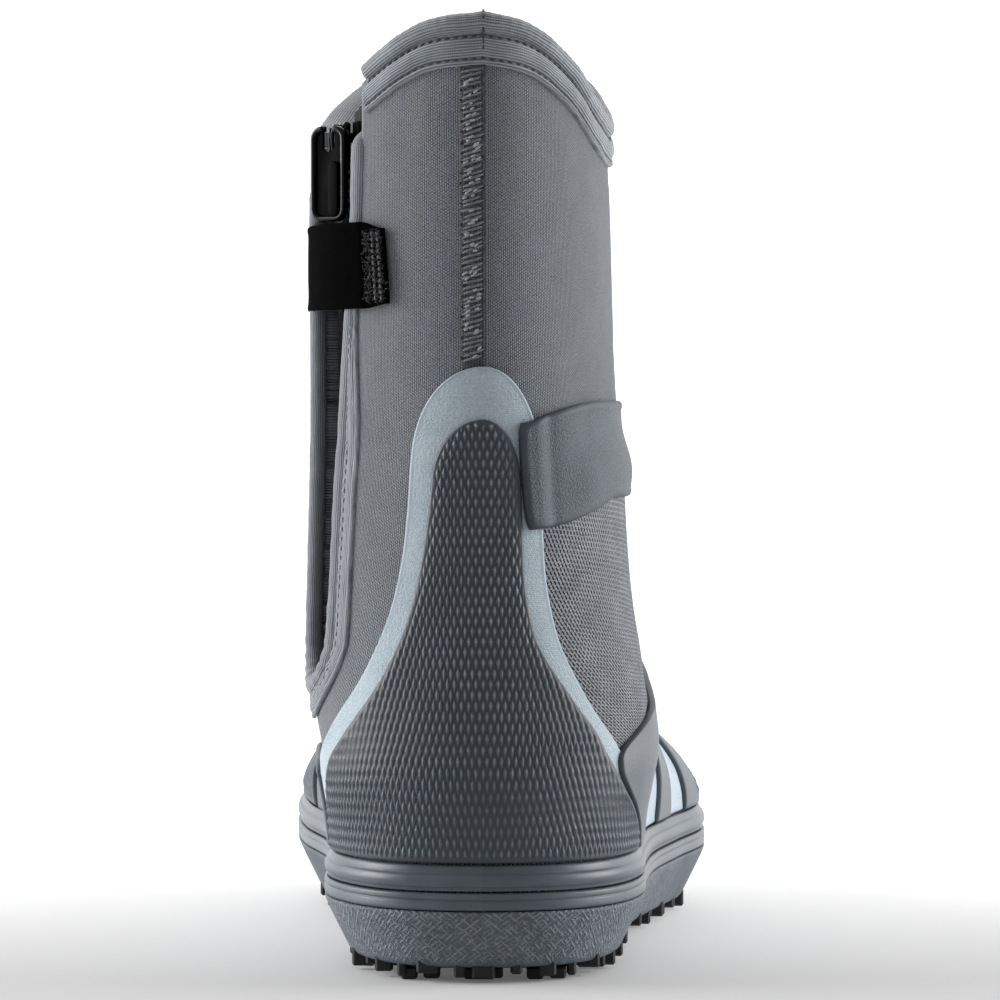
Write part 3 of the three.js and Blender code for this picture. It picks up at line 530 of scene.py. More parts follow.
def blocks(name, lows, highs, material, bevel=0.4, body_axes=None):
    """Boxes with bevelled edges, joined into one piece."""
    pieces = []
    for low, high in zip(lows, highs):
        low, high = np.asarray(low, float), np.asarray(high, float)
        size = np.minimum(bevel, (high - low) / 2.2)
        pieces.append((low, high, size))
    corner = np.array([[sx, sy, sz] for sx in (0, 1) for sy in (0, 1) for sz in (0, 1)], float)
    points = []
    for low, high, size in pieces:
        for c in corner:
            tip = lerp(low, high, c)
            for axis in range(3):
                inset = np.where(c > 0.5, -size, size)
                inset[axis] = 0
                points.append(tip + inset)
    base = np.arange(len(pieces))[:, None] * 24

    def three(c, axis):
        return 3 * int(c[0] * 4 + c[1] * 2 + c[2]) + axis

    quads, tris = [], []
    for axis in range(3):
        p, q = [k for k in range(3) if k != axis]
        for s in (0, 1):
            loop = []
            for u, v in ((0, 0), (1, 0), (1, 1), (0, 1)):
                c = [0, 0, 0]
                c[axis], c[p], c[q] = s, u, v
                loop.append(three(c, axis))
            flip = (s == 0) != (axis == 1)
            quads.append(loop[::-1] if flip else loop)
        for u in (0, 1):
            for v in (0, 1):
                c0, c1 = [0, 0, 0], [0, 0, 0]
                c0[p], c0[q], c1[p], c1[q] = u, v, u, v
                c1[axis] = 1
                loop = [three(c0, p), three(c0, q), three(c1, q), three(c1, p)]
                flip = ((u == v) != (axis == 1))
                quads.append(loop if flip else loop[::-1])
    for c in corner.astype(int):
        loop = [three(c, 0), three(c, 1), three(c, 2)]
        tris.append(loop if (c.sum() % 2) else loop[::-1])
    quads = (np.array(quads)[None] + base[:, None]).reshape(-1, 4)
    tris = (np.array(tris)[None] + base[:, None]).reshape(-1, 3)
    points = np.array(points)
    if body_axes is not None:
        origin, axes = body_axes
        flat = points[:, :2].copy()
        points = origin + points @ axes
    else:
        flat = points[:, :2]
    return make_mesh(name, points, [quads, tris], [flat[quads], flat[tris]], material, sharp=30)


def join(name, pieces):
    """Makes several mesh objects one."""
    with bpy.context.temp_override(active_object=pieces[0], selected_editable_objects=pieces):
        bpy.ops.object.join()
    pieces[0].name = name
    return pieces[0]


def slab(name, outline, levels, to_points, material, sharp=35):
    """A flat body from an outline: levels are (inset, height) pairs from one face to the other."""
    outline = np.asarray(outline, float)
    along = unit(np.roll(outline, -1, 0) - np.roll(outline, 1, 0))
    inwards = np.stack([-along[:, 1], along[:, 0]], -1)
    rings = [np.concatenate([outline + inwards * inset, np.full((len(outline), 1), height)], 1)
             for inset, height in levels]
    flat = np.stack(rings)
    n, k = flat.shape[:2]
    ids = np.arange(n * k).reshape(n, k)
    nexts = np.roll(ids, -1, 1)
    sides = np.stack([ids[:-1], nexts[:-1], nexts[1:], ids[1:]], -1).reshape(-1, 4)
    faces = [sides, ids[0][None, ::-1], ids[-1][None]]
    uv = flat[..., :2].reshape(-1, 2)
    return make_mesh(name, to_points(flat.reshape(-1, 3)), faces, [uv[f] for f in faces], material,
                     sharp=sharp)


def rounded_rect(width, height, radius, centre=(0, 0), steps=6):
    points = []
    for k, (sx, sy) in enumerate(((1, 1), (-1, 1), (-1, -1), (1, -1))):
        turn = np.linspace(k, k + 1, steps + 1) * np.pi / 2
        corner = np.array([sx * (width / 2 - radius), sy * (height / 2 - radius)])
        points.append(corner + radius * np.stack([np.cos(turn), np.sin(turn)], -1))
    return np.concatenate(points) + centre


# ---- materials ----
def linear(code):
    values = [int(code[k : k + 2], 16) / 255 for k in (0, 2, 4)]
    return tuple(c / 12.92 if c <= 0.04045 else ((c + 0.055) / 1.055) ** 2.4 for c in values) + (1.0,)


class Material:
    """A Principled material whose colour and bump are worked out by nodes from the mm UV map."""

    def __init__(self, name, roughness, **sockets):
        self.material = bpy.data.materials.new(name)
        self.material.use_nodes = True
        self.tree = self.material.node_tree
        self.shader = self.tree.nodes["Principled BSDF"]
        self.shader.inputs["Roughness"].default_value = roughness
        for key, value in sockets.items():
            self.shader.inputs[key.replace("_", " ")].default_value = value
        uv = self.node("ShaderNodeUVMap")
        uv.uv_map = "mm"
        self.uv = uv.outputs["UV"]
        parts = self.node("ShaderNodeSeparateXYZ")
        self.link(self.uv, parts.inputs[0])
        self.u, self.v = parts.outputs[0], parts.outputs[1]
        self.height = None

    def node(self, kind, **settings):
        made = self.tree.nodes.new(kind)
        for key, value in settings.items():
            setattr(made, key, value)
        return made

    def link(self, value, socket):
        if isinstance(value, bpy.types.NodeSocket):
            self.tree.links.new(value, socket)
        else:
            socket.default_value = value

    def math(self, operation, *values):
        made = self.node("ShaderNodeMath", operation=operation)
        for value, socket in zip(values, made.inputs):
            self.link(value, socket)
        return made.outputs[0]

    def sum(self, *values):
        total = values[0]
        for value in values[1:]:
            total = self.math("ADD", total, value)
        return total

    def times(self, value, by):
        return self.math("MULTIPLY", value, by)

    def ramp(self, value, low, high):
        made = self.node("ShaderNodeMapRange", interpolation_type="SMOOTHSTEP")
        for k, x in enumerate((value, low, high, 0.0, 1.0)):
            self.link(x, made.inputs[k])
        return made.outputs[0]

    def vector(self, x, y, z=0.0):
        made = self.node("ShaderNodeCombineXYZ")
        for k, value in enumerate((x, y, z)):
            self.link(value, made.inputs[k])
        return made.outputs[0]

    def noise(self, size, detail=2.0, vector=None, rough=0.5):
        """Noise around 0.5 with hills of about size millimetres, over the mm map or a vector."""
        made = self.node("ShaderNodeTexNoise")
        self.link(self.uv if vector is None else vector, made.inputs["Vector"])
        made.inputs["Scale"].default_value = 1 / size
        made.inputs["Detail"].default_value = detail
        made.inputs["Roughness"].default_value = rough
        return made.outputs[0]

    def attribute(self, name):
        return self.node("ShaderNodeAttribute", attribute_name=name).outputs["Fac"]

    def turned(self, degrees):
        """The u and v of the map turned by an angle."""
        c, s = math.cos(rad(degrees)), math.sin(rad(degrees))
        across = self.sum(self.times(self.u, c), self.times(self.v, s))
        return across, self.sum(self.times(self.u, -s), self.times(self.v, c))

    def wave(self, value, pitch):
        """A sine of a length, from 0 to 1."""
        return self.sum(self.times(self.math("SINE", self.times(value, 2 * math.pi / pitch)), 0.5), 0.5)

    def dots(self, pitch_u, pitch_v, u=None, v=None):
        """Round dots in staggered rows, from 0 between them to 1 at their middles."""
        x = self.math("DIVIDE", u or self.u, pitch_u)
        y = self.math("DIVIDE", v or self.v, pitch_v)
        shift = self.times(self.math("MODULO", self.math("ABSOLUTE", self.math("FLOOR", y)), 2.0), 0.5)
        x = self.math("SUBTRACT", self.math("FRACT", self.sum(x, shift)), 0.5)
        y = self.math("SUBTRACT", self.math("FRACT", y), 0.5)
        square = self.sum(self.math("MULTIPLY", x, x), self.math("MULTIPLY", y, y))
        return self.math("SQRT", self.math("MAXIMUM", self.math("SUBTRACT", 1.0, self.times(square, 5.0)),
                                           0.0))

    def mix(self, share, low, high):
        made = self.node("ShaderNodeMix", data_type="RGBA")
        self.link(share, made.inputs[0])
        self.link(linear(low) if isinstance(low, str) else low, made.inputs[6])
        self.link(linear(high) if isinstance(high, str) else high, made.inputs[7])
        return made.outputs[2]

    def colour(self, value):
        self.link(value, self.shader.inputs["Base Color"])

    def rough(self, value, low, high):
        made = self.node("ShaderNodeMapRange")
        for k, x in enumerate((value, 0.0, 1.0, low, high)):
            self.link(x, made.inputs[k])
        self.link(made.outputs[0], self.shader.inputs["Roughness"])

    def bump(self, height, millimetres):
        """Adds a relief, height from 0 to 1 standing for so many millimetres."""
        made = self.node("ShaderNodeBump")
        made.inputs["Strength"].default_value = 1.0
        made.inputs["Distance"].default_value = millimetres / 1000
        self.link(height, made.inputs["Height"])
        if self.height is not None:
            self.link(self.height, made.inputs["Normal"])
        self.height = made.outputs["Normal"]
        self.link(self.height, self.shader.inputs["Normal"])


def knit(name, dark, light, pitch=0.62, depth=0.16, sheen=0.25):
    """Fine jersey over neoprene: columns of slanting stitches."""
    m = Material(name, 0.95, Sheen_Weight=sheen, Sheen_Roughness=0.5)
    wobble = m.times(m.math("SUBTRACT", m.noise(6.0), 0.5), 0.5)
    x = m.math("DIVIDE", m.sum(m.u, wobble), pitch)
    across = m.times(m.math("ABSOLUTE", m.math("SUBTRACT", m.math("FRACT", x), 0.5)), 2.0)
    rise = m.sum(m.math("DIVIDE", m.v, pitch), m.times(across, 0.55))
    rise = m.sum(rise, m.times(m.math("FLOOR", x), 0.5))
    stitch = m.wave(rise, 1.0)
    wale = m.math("SUBTRACT", 1.0, m.math("POWER", across, 2.0))
    loop = m.math("MULTIPLY", wale, m.sum(m.times(stitch, 0.6), 0.4))
    grain = m.noise(0.35, 3.0)
    mottle = m.noise(9.0, 4.0)
    fleck = m.math("SUBTRACT", m.noise(0.6, 2.0), 0.5)
    tone = m.sum(m.times(loop, 0.7), m.times(grain, 0.3), m.times(fleck, 0.7),
                 m.times(m.math("SUBTRACT", mottle, 0.5), 0.16))
    m.colour(m.mix(m.ramp(tone, 0.16, 0.86), dark, light))
    m.bump(m.noise(14.0, 2.0), 0.5)
    m.bump(m.sum(m.times(loop, 0.8), m.times(grain, 0.3)), depth)
    return m.material


def ribbed(name, dark, light, pitch=0.7):
    """Jersey turned on its side for bindings: fine ribs along the binding."""
    m = Material(name, 0.92, Sheen_Weight=0.3, Sheen_Roughness=0.5)
    wobble = m.times(m.math("SUBTRACT", m.noise(5.0), 0.5), 0.6)
    rib = m.wave(m.sum(m.v, wobble), pitch)
    beads = m.wave(m.u, 0.55)
    grain = m.noise(0.3, 3.0)
    tone = m.sum(m.times(rib, 0.6), m.times(beads, 0.15), m.times(grain, 0.4))
    tone = m.sum(tone, m.times(m.math("SUBTRACT", m.noise(7.0, 3.0), 0.5), 0.4))
    m.colour(m.mix(m.ramp(tone, 0.1, 1.05), dark, light))
    m.bump(m.noise(4.0, 2.0), 0.5)
    m.bump(m.sum(m.times(rib, 0.8), m.times(beads, 0.12), m.times(grain, 0.2)), 0.14)
    return m.material


def pebbled(name, dark, light, roughness, pitch=0.65, depth=0.07):
    """Rubber with a fine grain of dots that fades out along its edge."""
    m = Material(name, roughness, Specular_IOR_Level=0.45)
    grain = m.ramp(m.noise(pitch * 0.9, 3.0), 0.3, 0.7)
    dots = m.math("MULTIPLY", m.sum(m.times(m.dots(pitch, pitch * 0.8), 0.35), m.times(grain, 0.75)),
                  m.ramp(m.attribute("edge"), 0.7, 2.0))
    cloud = m.noise(11.0, 4.0)
    scuff = m.ramp(m.noise(2.2, 5.0), 0.58, 0.8)
    tone = m.sum(m.times(dots, 0.5), m.times(cloud, 0.6), m.times(scuff, 0.12))
    m.colour(m.mix(m.ramp(tone, 0.1, 1.0), dark, light))
    m.rough(m.sum(m.times(cloud, 0.6), m.times(scuff, 0.3)), roughness - 0.08, roughness + 0.1)
    m.bump(m.noise(7.0, 2.0), 0.12)
    m.bump(m.sum(dots, m.times(m.noise(0.25, 3.0), 0.4)), depth)
    return m.material


def lozenged(name, groove, dark, light):
    """Moulded rubber whose raised lozenges are paler than the grooves between them as painted highlight, with
    painted shade in the grooves; only the lozenges carry random worn patches.
    """
    m = Material(name, 0.55, Specular_IOR_Level=0.5)
    crest = m.ramp(m.attribute("crest"), 0.0, 0.62)
    cloud = m.noise(12.0, 4.0)
    wear = m.ramp(m.noise(1.6, 5.0), 0.5, 0.75)
    face = m.mix(m.ramp(m.sum(m.times(cloud, 0.8), m.times(wear, 0.3)), 0.2, 0.9), dark, light)
    # Painted shade and highlight: the groove colour fills the low parts and the raised crests ramp to the
    # paler face colour.
    m.colour(m.mix(m.ramp(m.sum(crest, m.times(cloud, 0.2)), 0.1, 1.0), groove, face))
    m.rough(m.sum(m.times(crest, 0.4), m.times(wear, 0.3)), 0.52, 0.36)
    m.bump(m.noise(0.22, 4.0), 0.03)
    return m.material


def moulded(name, dark, light, roughness, depth=0.05):
    """Smooth moulded rubber with faint flow marks along it, fine grain and scuffs."""
    m = Material(name, roughness, Specular_IOR_Level=0.35)
    flow = m.noise(1.0, 3.0, m.vector(m.times(m.u, 0.08), m.times(m.v, 0.8)))
    cloud = m.noise(14.0, 4.0)
    scuff = m.ramp(m.noise(1.3, 6.0), 0.62, 0.8)
    tone = m.sum(m.times(cloud, 0.6), m.times(flow, 0.35), m.times(scuff, 0.1))
    m.colour(m.mix(m.ramp(tone, 0.2, 0.8), dark, light))
    m.rough(m.sum(m.times(cloud, 0.5), m.times(scuff, 0.6)), roughness - 0.08, roughness + 0.14)
    m.bump(m.sum(m.times(flow, 0.6), m.times(m.noise(0.3, 4.0), 0.4)), depth)
    return m.material


def hatched(name, dark, light):
    """Sole rubber scored by short crossing strokes round the heel, smoother towards the toe."""
    m = Material(name, 0.62, Specular_IOR_Level=0.4)
    strokes = []
    for turn in (40, -42):
        across, along = m.turned(turn)
        lines = m.wave(m.sum(along, m.times(m.noise(2.5), 0.7)), 1.15)
        broken = m.ramp(m.noise(1.0, 2.0, m.vector(m.times(across, 0.4), m.times(along, 0.9))), 0.42, 0.58)
        strokes.append(m.math("MULTIPLY", lines, broken))
    cut = m.math("MULTIPLY", m.math("MAXIMUM", *strokes), m.attribute("crest"))
    cloud = m.noise(10.0, 4.0)
    m.colour(m.mix(m.ramp(m.sum(m.times(cloud, 0.6), m.times(cut, 0.6)), 0.1, 1.15), dark, light))
    m.bump(m.noise(0.3, 4.0), 0.05)
    m.bump(cut, 0.3)
    return m.material


def twill(name, dark, ground, dash):
    """A textured panel: steep dark dashes in rows that climb forwards on a pale ground."""
    m = Material(name, 0.9, Specular_IOR_Level=0.2)
    (px, py), (qx, qy), lean = (0.88, 0.81), (-0.35, 1.49), 105
    area = px * qy - py * qx
    s = m.sum(m.times(m.u, qy / area), m.times(m.v, -qx / area))
    t = m.sum(m.times(m.v, px / area), m.times(m.u, -py / area))
    column = m.math("SUBTRACT", s, m.math("ROUND", s))
    row = m.math("SUBTRACT", t, m.math("ROUND", t))
    x = m.sum(m.times(column, px), m.times(row, qx))
    y = m.sum(m.times(column, py), m.times(row, qy))
    c, k = math.cos(rad(lean)), math.sin(rad(lean))
    along = m.math("ABSOLUTE", m.sum(m.times(x, c), m.times(y, k)))
    across = m.math("ABSOLUTE", m.sum(m.times(x, -k), m.times(y, c)))
    width, length = m.ramp(across, 0.32, 0.14), m.ramp(along, 0.72, 0.46)
    mark = m.math("MULTIPLY", m.math("MULTIPLY", width, length), m.sum(0.5, m.times(m.noise(0.8, 2.0), 0.9)))
    cloud = m.noise(8.0, 3.0)
    base = m.mix(m.ramp(m.sum(m.times(m.noise(0.3, 3.0), 0.85), m.times(cloud, 0.15)), 0.35, 0.65), dark,
                 ground)
    m.colour(m.mix(m.ramp(mark, 0.1, 0.9), base, dash))
    m.bump(m.math("SUBTRACT", 1.0, mark), 0.22)
    return m.material


def fuzzy(name, dark, light, size=0.35, depth=0.4):
    """The pile of hook-and-loop tape."""
    m = Material(name, 0.95, Specular_IOR_Level=0.01)
    pile = m.noise(size, 4.0, rough=0.7)
    weave = m.dots(0.9, 0.7)
    tone = m.sum(m.times(pile, 0.8), m.times(weave, 0.2))
    m.colour(m.mix(m.ramp(tone, 0.42, 0.85), dark, light))
    m.bump(tone, depth)
    return m.material


def woven(name, dark, light, pitch=0.5):
    """A tight plain weave."""
    m = Material(name, 0.85, Specular_IOR_Level=0.02)
    weave = m.math("MULTIPLY", m.wave(m.u, pitch), m.wave(m.v, pitch * 0.8))
    grain = m.noise(0.3, 3.0)
    m.colour(m.mix(m.ramp(m.sum(m.times(weave, 0.7), m.times(grain, 0.5)), 0.1, 1.0), dark, light))
    m.bump(m.sum(weave, m.times(grain, 0.3)), 0.1)
    return m.material


def plastic(name, dark, light, roughness, shine=0.2):
    """Moulded plastic with a faint texture and rubbed patches."""
    m = Material(name, roughness, Specular_IOR_Level=shine)
    cloud = m.noise(5.0, 4.0)
    rubbed = m.ramp(m.noise(1.1, 5.0), 0.55, 0.75)
    m.colour(m.mix(m.ramp(m.sum(m.times(cloud, 0.7), m.times(rubbed, 0.3)), 0.2, 0.9), dark, light))
    m.rough(m.sum(m.times(cloud, 0.4), m.times(rubbed, 0.5)), roughness - 0.06, roughness + 0.15)
    m.bump(m.noise(0.35, 3.0), 0.03)
    return m.material


def twisted(name, dark, light):
    """Sewing thread with its twist."""
    m = Material(name, 0.7, Sheen_Weight=0.2)
    ply = m.wave(m.sum(m.u, m.times(m.v, 0.7)), 0.45)
    m.colour(m.mix(m.sum(m.times(ply, 0.7), m.times(m.noise(0.5), 0.3)), dark, light))
    m.bump(ply, 0.06)
    return m.material


JERSEY = knit("jersey", "07090c", "939ba6", 0.74, 0.42, 0.6)
BINDING = ribbed("ribbed_jersey", "494e54", "9a9fa5")
FACING = ribbed("facing_jersey", "5c6067", "94989f", 0.6)
# Painted shade: the gusset lies deep in the zip's slot, and its near-black jersey colour stands for the shade
# in the slot.
GUSSET_SHADE_JERSEY = knit("gusset_painted_shade", "020203", "0b0c0e", 0.7, 0.16, 0.0)
LINING = knit("lining", "26282b", "4a4d52", 0.8)
PALE_RUBBER = pebbled("pale_rubber", "92a1ab", "bac7cf", 0.62, depth=0.12)
# Its first colour is the painted shade in the grooves between the lozenges.
COUNTER_RUBBER = lozenged("dark_rubber", "353d44", "4c565e", "68737c")
STRAP_RUBBER = pebbled("strap_rubber", "323a41", "515a62", 0.62, 0.7, 0.2)
RIB_RUBBER = pebbled("rib_rubber", "414850", "596168", 0.5, depth=0.04)
FOXING_RUBBER = moulded("foxing_rubber", "464e55", "5c646b", 0.4)
SOLE_RUBBER = hatched("sole_rubber", "474e55", "7c848c")
TREAD_RUBBER = moulded("tread_rubber", "0d0e0f", "202224", 0.6, 0.12)
TWILL = twill("twill", "4d5056", "a9acb2", "1c1f23")
HOOK_TAPE = fuzzy("hook_tape", "030304", "1c1d1f")
WEB = fuzzy("black_web", "020202", "0a0a0c", 0.6, 0.2)
TAPE = woven("zip_tape", "030304", "0c0d0f")
BLACK_PLASTIC = plastic("black_plastic", "030304", "0b0c0e", 0.22)
MATT_PLASTIC = plastic("matt_plastic", "020202", "070708", 0.6, 0.03)
THREAD = twisted("thread", "24272b", "4c5056")
SEAM_THREAD = twisted("seam_thread", "44484e", "878b92")
PALE_THREAD = twisted("pale_thread", "73777d", "b9bdc2")
GREY_THREAD = twisted("grey_thread", "2c2f33", "73777c")
SEAM_TAPE = knit("seam_tape", "202226", "5b5f65", 0.7)
BLACK_THREAD = twisted("black_thread", "050506", "2a2c2f")
BOARD = moulded("board", "2b2d30", "3c3f43", 0.8)


# ---- camera, light and floor ----
CAMERA = {"at": (0.0, -1.390, 0.147), "pitch": 1.155, "lens": 178.6}


def add_camera():
    data = bpy.data.cameras.new("camera")
    data.lens, data.sensor_width = CAMERA["lens"], 36
    data.clip_start, data.clip_end = 0.05, 100
    camera = bpy.data.objects.new("camera", data)
    camera.location = CAMERA["at"]
    camera.rotation_euler = (rad(90 - CAMERA["pitch"]), 0, 0)
    bpy.context.scene.collection.objects.link(camera)
    bpy.context.scene.camera = camera


def add_light(name, azimuth, height, distance, size, watts, target=(0, 0, 0.12)):
    """A square softbox at a compass angle from behind the boot (0) round its outer side (90)."""
    data = bpy.data.lights.new(name, "AREA")
    data.size, data.energy = size, watts
    light = bpy.data.objects.new(name, data)
    turn = rad(azimuth)
    light.location = (math.sin(turn) * distance, -math.cos(turn) * distance, height)
    light.rotation_mode = "QUATERNION"
    light.rotation_quaternion = (light.location - Vector(target)).to_track_quat("Z", "Y")
    bpy.context.scene.collection.objects.link(light)


def add_stage():
    world = bpy.data.worlds.new("studio")
    world.use_nodes = True
    world.node_tree.nodes["Background"].inputs["Color"].default_value = (1, 1, 1, 1)
    world.node_tree.nodes["Background"].inputs["Strength"].default_value = 0.4
    bpy.context.scene.world = world
    bpy.context.scene.view_settings.view_transform = "Standard"
    add_light("inner_box", -97, 0.42, 1.5, 1.1, 34)
    add_light("outer_box", 97, 0.42, 1.5, 1.1, 30)
    m = Material("floor", 0.8, Emission_Color=(1, 1, 1, 1))
    m.colour(m.mix(m.noise(400.0, 3.0), "c4c4c4", "cbcbcb"))
    m.link(m.times(m.ramp(m.v, -150.0, 650.0), 0.8), m.shader.inputs["Emission Strength"])
    m.bump(m.noise(30.0, 3.0), 0.05)
    side, cells = 24000.0, 12
    place_at = np.linspace(-side, side, cells + 1)
    x, y = np.meshgrid(place_at, place_at + LENGTH / 2, indexing="ij")
    points = np.stack([x, y, np.zeros_like(x)], -1).reshape(-1, 3)
    ids = np.arange(len(points)).reshape(cells + 1, cells + 1)
    quads = np.stack([ids[:-1, :-1], ids[1:, :-1], ids[1:, 1:], ids[:-1, 1:]], -1).reshape(-1, 4)
    uv = points[:, :2]
    make_mesh("floor", points, [quads], [uv[quads]], m.material)
    paper = Material("paper", 0.9, Base_Color=(0.8, 0.8, 0.8, 1), Emission_Color=(1, 1, 1, 1),
                     Emission_Strength=0.9)
    wide, far, high = 22000.0, 6000.0, 9000.0
    corners = np.array([[-wide, far, -10], [wide, far, -10], [wide, far, high], [-wide, far, high]])
    make_mesh("backdrop", corners, [np.array([[0, 1, 2, 3]])], [corners[None, :, [0, 2]]],
                       paper.material)


# ---- neoprene upper ----
VAMP_SIDE = rad(72.5)
VAMP_RING = 4.9
PANEL_FOOT = 19.0
BINDING_HEIGHT = 5.5
COLLAR_HEIGHT = 13.2


def split_rows(angle, low, middle, high, below, above):
    """Rings up a panel with a row exactly on its middle ring."""
    first = lerp(low[:, None], middle, np.linspace(0, 1, below + 1)[None, :-1])
    second = lerp(middle, high[:, None], np.linspace(0, 1, above + 1)[None])
    return np.concatenate([first, second], 1)


def neoprene(name, angles, rings, keep, material, fade):
    """A neoprene wall on the boot's surface, slightly uneven as foam under jersey is."""
    angle = np.broadcast_to(angles[:, None], rings.shape)
    base, up = surface(angle, rings), normal_at(angle, rings)
    u = np.broadcast_to(arc(base, 0).mean(1)[:, None], rings.shape)
    v = base[..., 2]
    swell = waves(u, v, 46, 3) * 0.3 + waves(u, v, 17, 4) * 0.06
    swell = swell * fade(angle, v)
    front = base + up * swell[..., None]
    back = base + up * (swell - WALL)[..., None]
    uv = np.stack([u, v], -1)
    return solid(name, front, back, uv, material, keep=keep)


def add_upper():
    def fade(angle, z):
        return smooth(z, 40, 70) * (1 - smooth(z, rim_at(angle) - 22, rim_at(angle) - 14))

    side_angles = np.concatenate([np.linspace(rad(0.25), VAMP_SIDE, 50),
                                  np.linspace(VAMP_SIDE, rad(179.75), 74)[1:]])
    for name, side in (("outer_quarter", 1), ("inner_quarter", -1)):
        angles = side_angles * side
        if side < 0:
            angles = angles[::-1]
        foot = ring_at(angles, PANEL_FOOT + spring(along_foot(angles)))
        head = ring_at(angles, rim_at(angles) - BINDING_HEIGHT + 1.5)
        rings = split_rows(angles, foot, VAMP_RING, head, 16, 100)
        cell_angle = np.abs((angles[1:] + angles[:-1]) / 2)[:, None]
        cell_ring = (rings[1:, 1:] + rings[:-1, :-1]) / 2
        keep = ~((cell_angle > VAMP_SIDE) & (cell_ring < VAMP_RING))
        if side < 0:
            points = surface(np.broadcast_to(angles[:, None], rings.shape), rings)
            middle = (points[1:, 1:] + points[:-1, :-1]) / 2
            keep &= ~in_slot(middle[..., 1], middle[..., 2], 1.2)
        piece = neoprene(name, angles, rings, keep, JERSEY, fade)
        place(piece, "boot", "jersey", name)
    angles = np.linspace(VAMP_SIDE, 2 * np.pi - VAMP_SIDE, 140)
    foot = ring_at(angles, PANEL_FOOT + spring(along_foot(angles)))
    rings = lerp(foot[:, None], VAMP_RING, np.linspace(0, 1, 30)[None])
    place(neoprene("vamp", angles, rings, None, JERSEY, fade), "boot", "jersey", "vamp")
    add_seam_line("vamp_seam", lerp(VAMP_SIDE - 0.02, 2 * np.pi - VAMP_SIDE + 0.02, np.linspace(0, 1, 200)))


def in_slot(y, z, outset):
    """Which points of the inner side lie inside the slot's outline."""
    low_z = SLOT["z"][0]
    back, front = slot_sides(z)
    foot_back, foot_front = slot_sides(low_z)
    middle, half = (foot_back + foot_front) / 2, (foot_front - foot_back) / 2
    across, down = (y - middle) / (half + outset), (z - low_z) / (SLOT["round"] + outset)
    return np.where(z > low_z, (y > back - outset) & (y < front + outset), across**2 + down**2 < 1)


def add_seam_line(name, angles):
    """The overlocked join of the vamp and the quarters."""
    ring = np.full(len(angles), VAMP_RING)
    path, up = skin(angles, ring, 0.3), normal_at(angles, ring)
    along = arc(path, 0)
    at = np.arange(1.0, along[-1] - 1, 1.9)
    middle = np.stack([np.interp(at, along, path[:, k]) for k in range(3)], -1)
    normals = np.stack([np.interp(at, along, up[:, k]) for k in range(3)], -1)
    tangent = unit(np.gradient(middle, axis=0))
    across = np.cross(normals, tangent)
    starts = middle - across * 1.5 - tangent * 0.45
    ends = middle + across * 1.5 + tangent * 0.45
    place(threads(name, starts, ends, normals, 0.3, SEAM_THREAD, 0.4), "boot", "jersey")


# ---- collar ----
def collar_angles(count):
    z = 226.0
    back, _ = slot_edge(0.0, 3.3, z)
    front, _ = slot_edge(1.0, 3.3, z)
    start, end = inner_angle(back, z), inner_angle(front, z) + 2 * np.pi
    return lerp(start, end, np.linspace(0, 1, count))


def add_collar():
    angles = collar_angles(420)
    rim = rim_at(angles)
    depth, height = WALL + 3.8, BINDING_HEIGHT
    ring = ring_at(angles, rim - height / 2)
    path, out = skin(angles, ring, -WALL / 2), normal_at(angles, ring)
    turn = np.arange(32) / 32 * 2 * np.pi
    power = 0.72
    section = np.stack([
        np.sign(np.cos(turn)) * np.abs(np.cos(turn)) ** power * depth / 2,
        np.sign(np.sin(turn)) * np.abs(np.sin(turn)) ** power * height / 2,
    ], -1)
    along = arc(path, 0)
    pucker = 1 + 0.014 * np.sin(along * 2 * np.pi / 2.35) + 0.02 * waves(along, 0 * along, 9, 5)
    section = section[None] * pucker[:, None, None]
    binding = swept("collar_binding", path, section, BINDING, across=out)
    place(binding, "boot", "jersey", "collar_binding")

    low, high = COLLAR_HEIGHT, BINDING_HEIGHT - 0.7

    def where(a, b):
        angle = lerp(angles[0], angles[-1], a)
        return angle, ring_at(angle, rim_at(angle) - lerp(low, high, b))

    def roll(x, start, end, height):
        t = np.clip((x - start) / (end - start), 0, 1)
        return height * np.sqrt(np.maximum(1 - (2 * t - 1) ** 2, 0)) ** 0.9

    def profile(u, v, edge, a, b):
        h = lerp(0, low - high, b)
        gather = 0.1 * np.sin(u * 2 * np.pi / 2.35)
        band = roll(h, 1.75, 7.0, 1.45)
        piping = roll(h, 0.0, 1.45, 1.05)
        crease = np.exp(-(((h - 1.65) / 0.5) ** 2)) + np.exp(-(((h - 7.2) / 0.5) ** 2))
        return 0.35 + np.maximum(band, piping) + gather * crease + 0.12 * waves(u, h * 2, 11, 6)

    band = overlay("collar_band", where, 0.0, -0.3, BINDING, cell=(0.6, 0.32), radius=0.3, relief=profile)
    place(band, "boot", "jersey", "collar_band")
    for name, drop, off in (("collar_stitch_upper", BINDING_HEIGHT + 0.45, 0.5),
                            ("collar_stitch_lower", 11.65, 0.5)):
        ring = ring_at(angles, rim - drop)
        row = stitch_row(name, skin(angles, ring, off), normal_at(angles, ring), 2.35, 1.55, 0.3, THREAD)
        place(row, "boot", "jersey")
    join_angle = np.array([0.0])
    add_collar_join(join_angle)


def add_collar_join(angle):
    """The short butt join of the collar's fabric at the centre of the heel."""
    heights = np.linspace(12.6, -0.4, 30)
    rim = rim_at(angle)[0]
    z = rim - heights
    ring = ring_at(np.zeros(len(z)), z)
    off = np.interp(heights, [-0.4, 0.8, 4.8, 5.9, 7.2, 9.2, 11.2, 12.6],
                    [-1.6, 1.75, 1.75, 0.5, 1.6, 1.85, 0.6, 1.1])
    path = skin(np.zeros(len(z)), ring, off)
    normals = normal_at(np.zeros(len(z)), ring)
    row = swept("collar_join", path - normals * 0.12, circle(8, 0.2, 0.32), SEAM_TAPE, across=normals)
    place(row, "boot", "jersey")


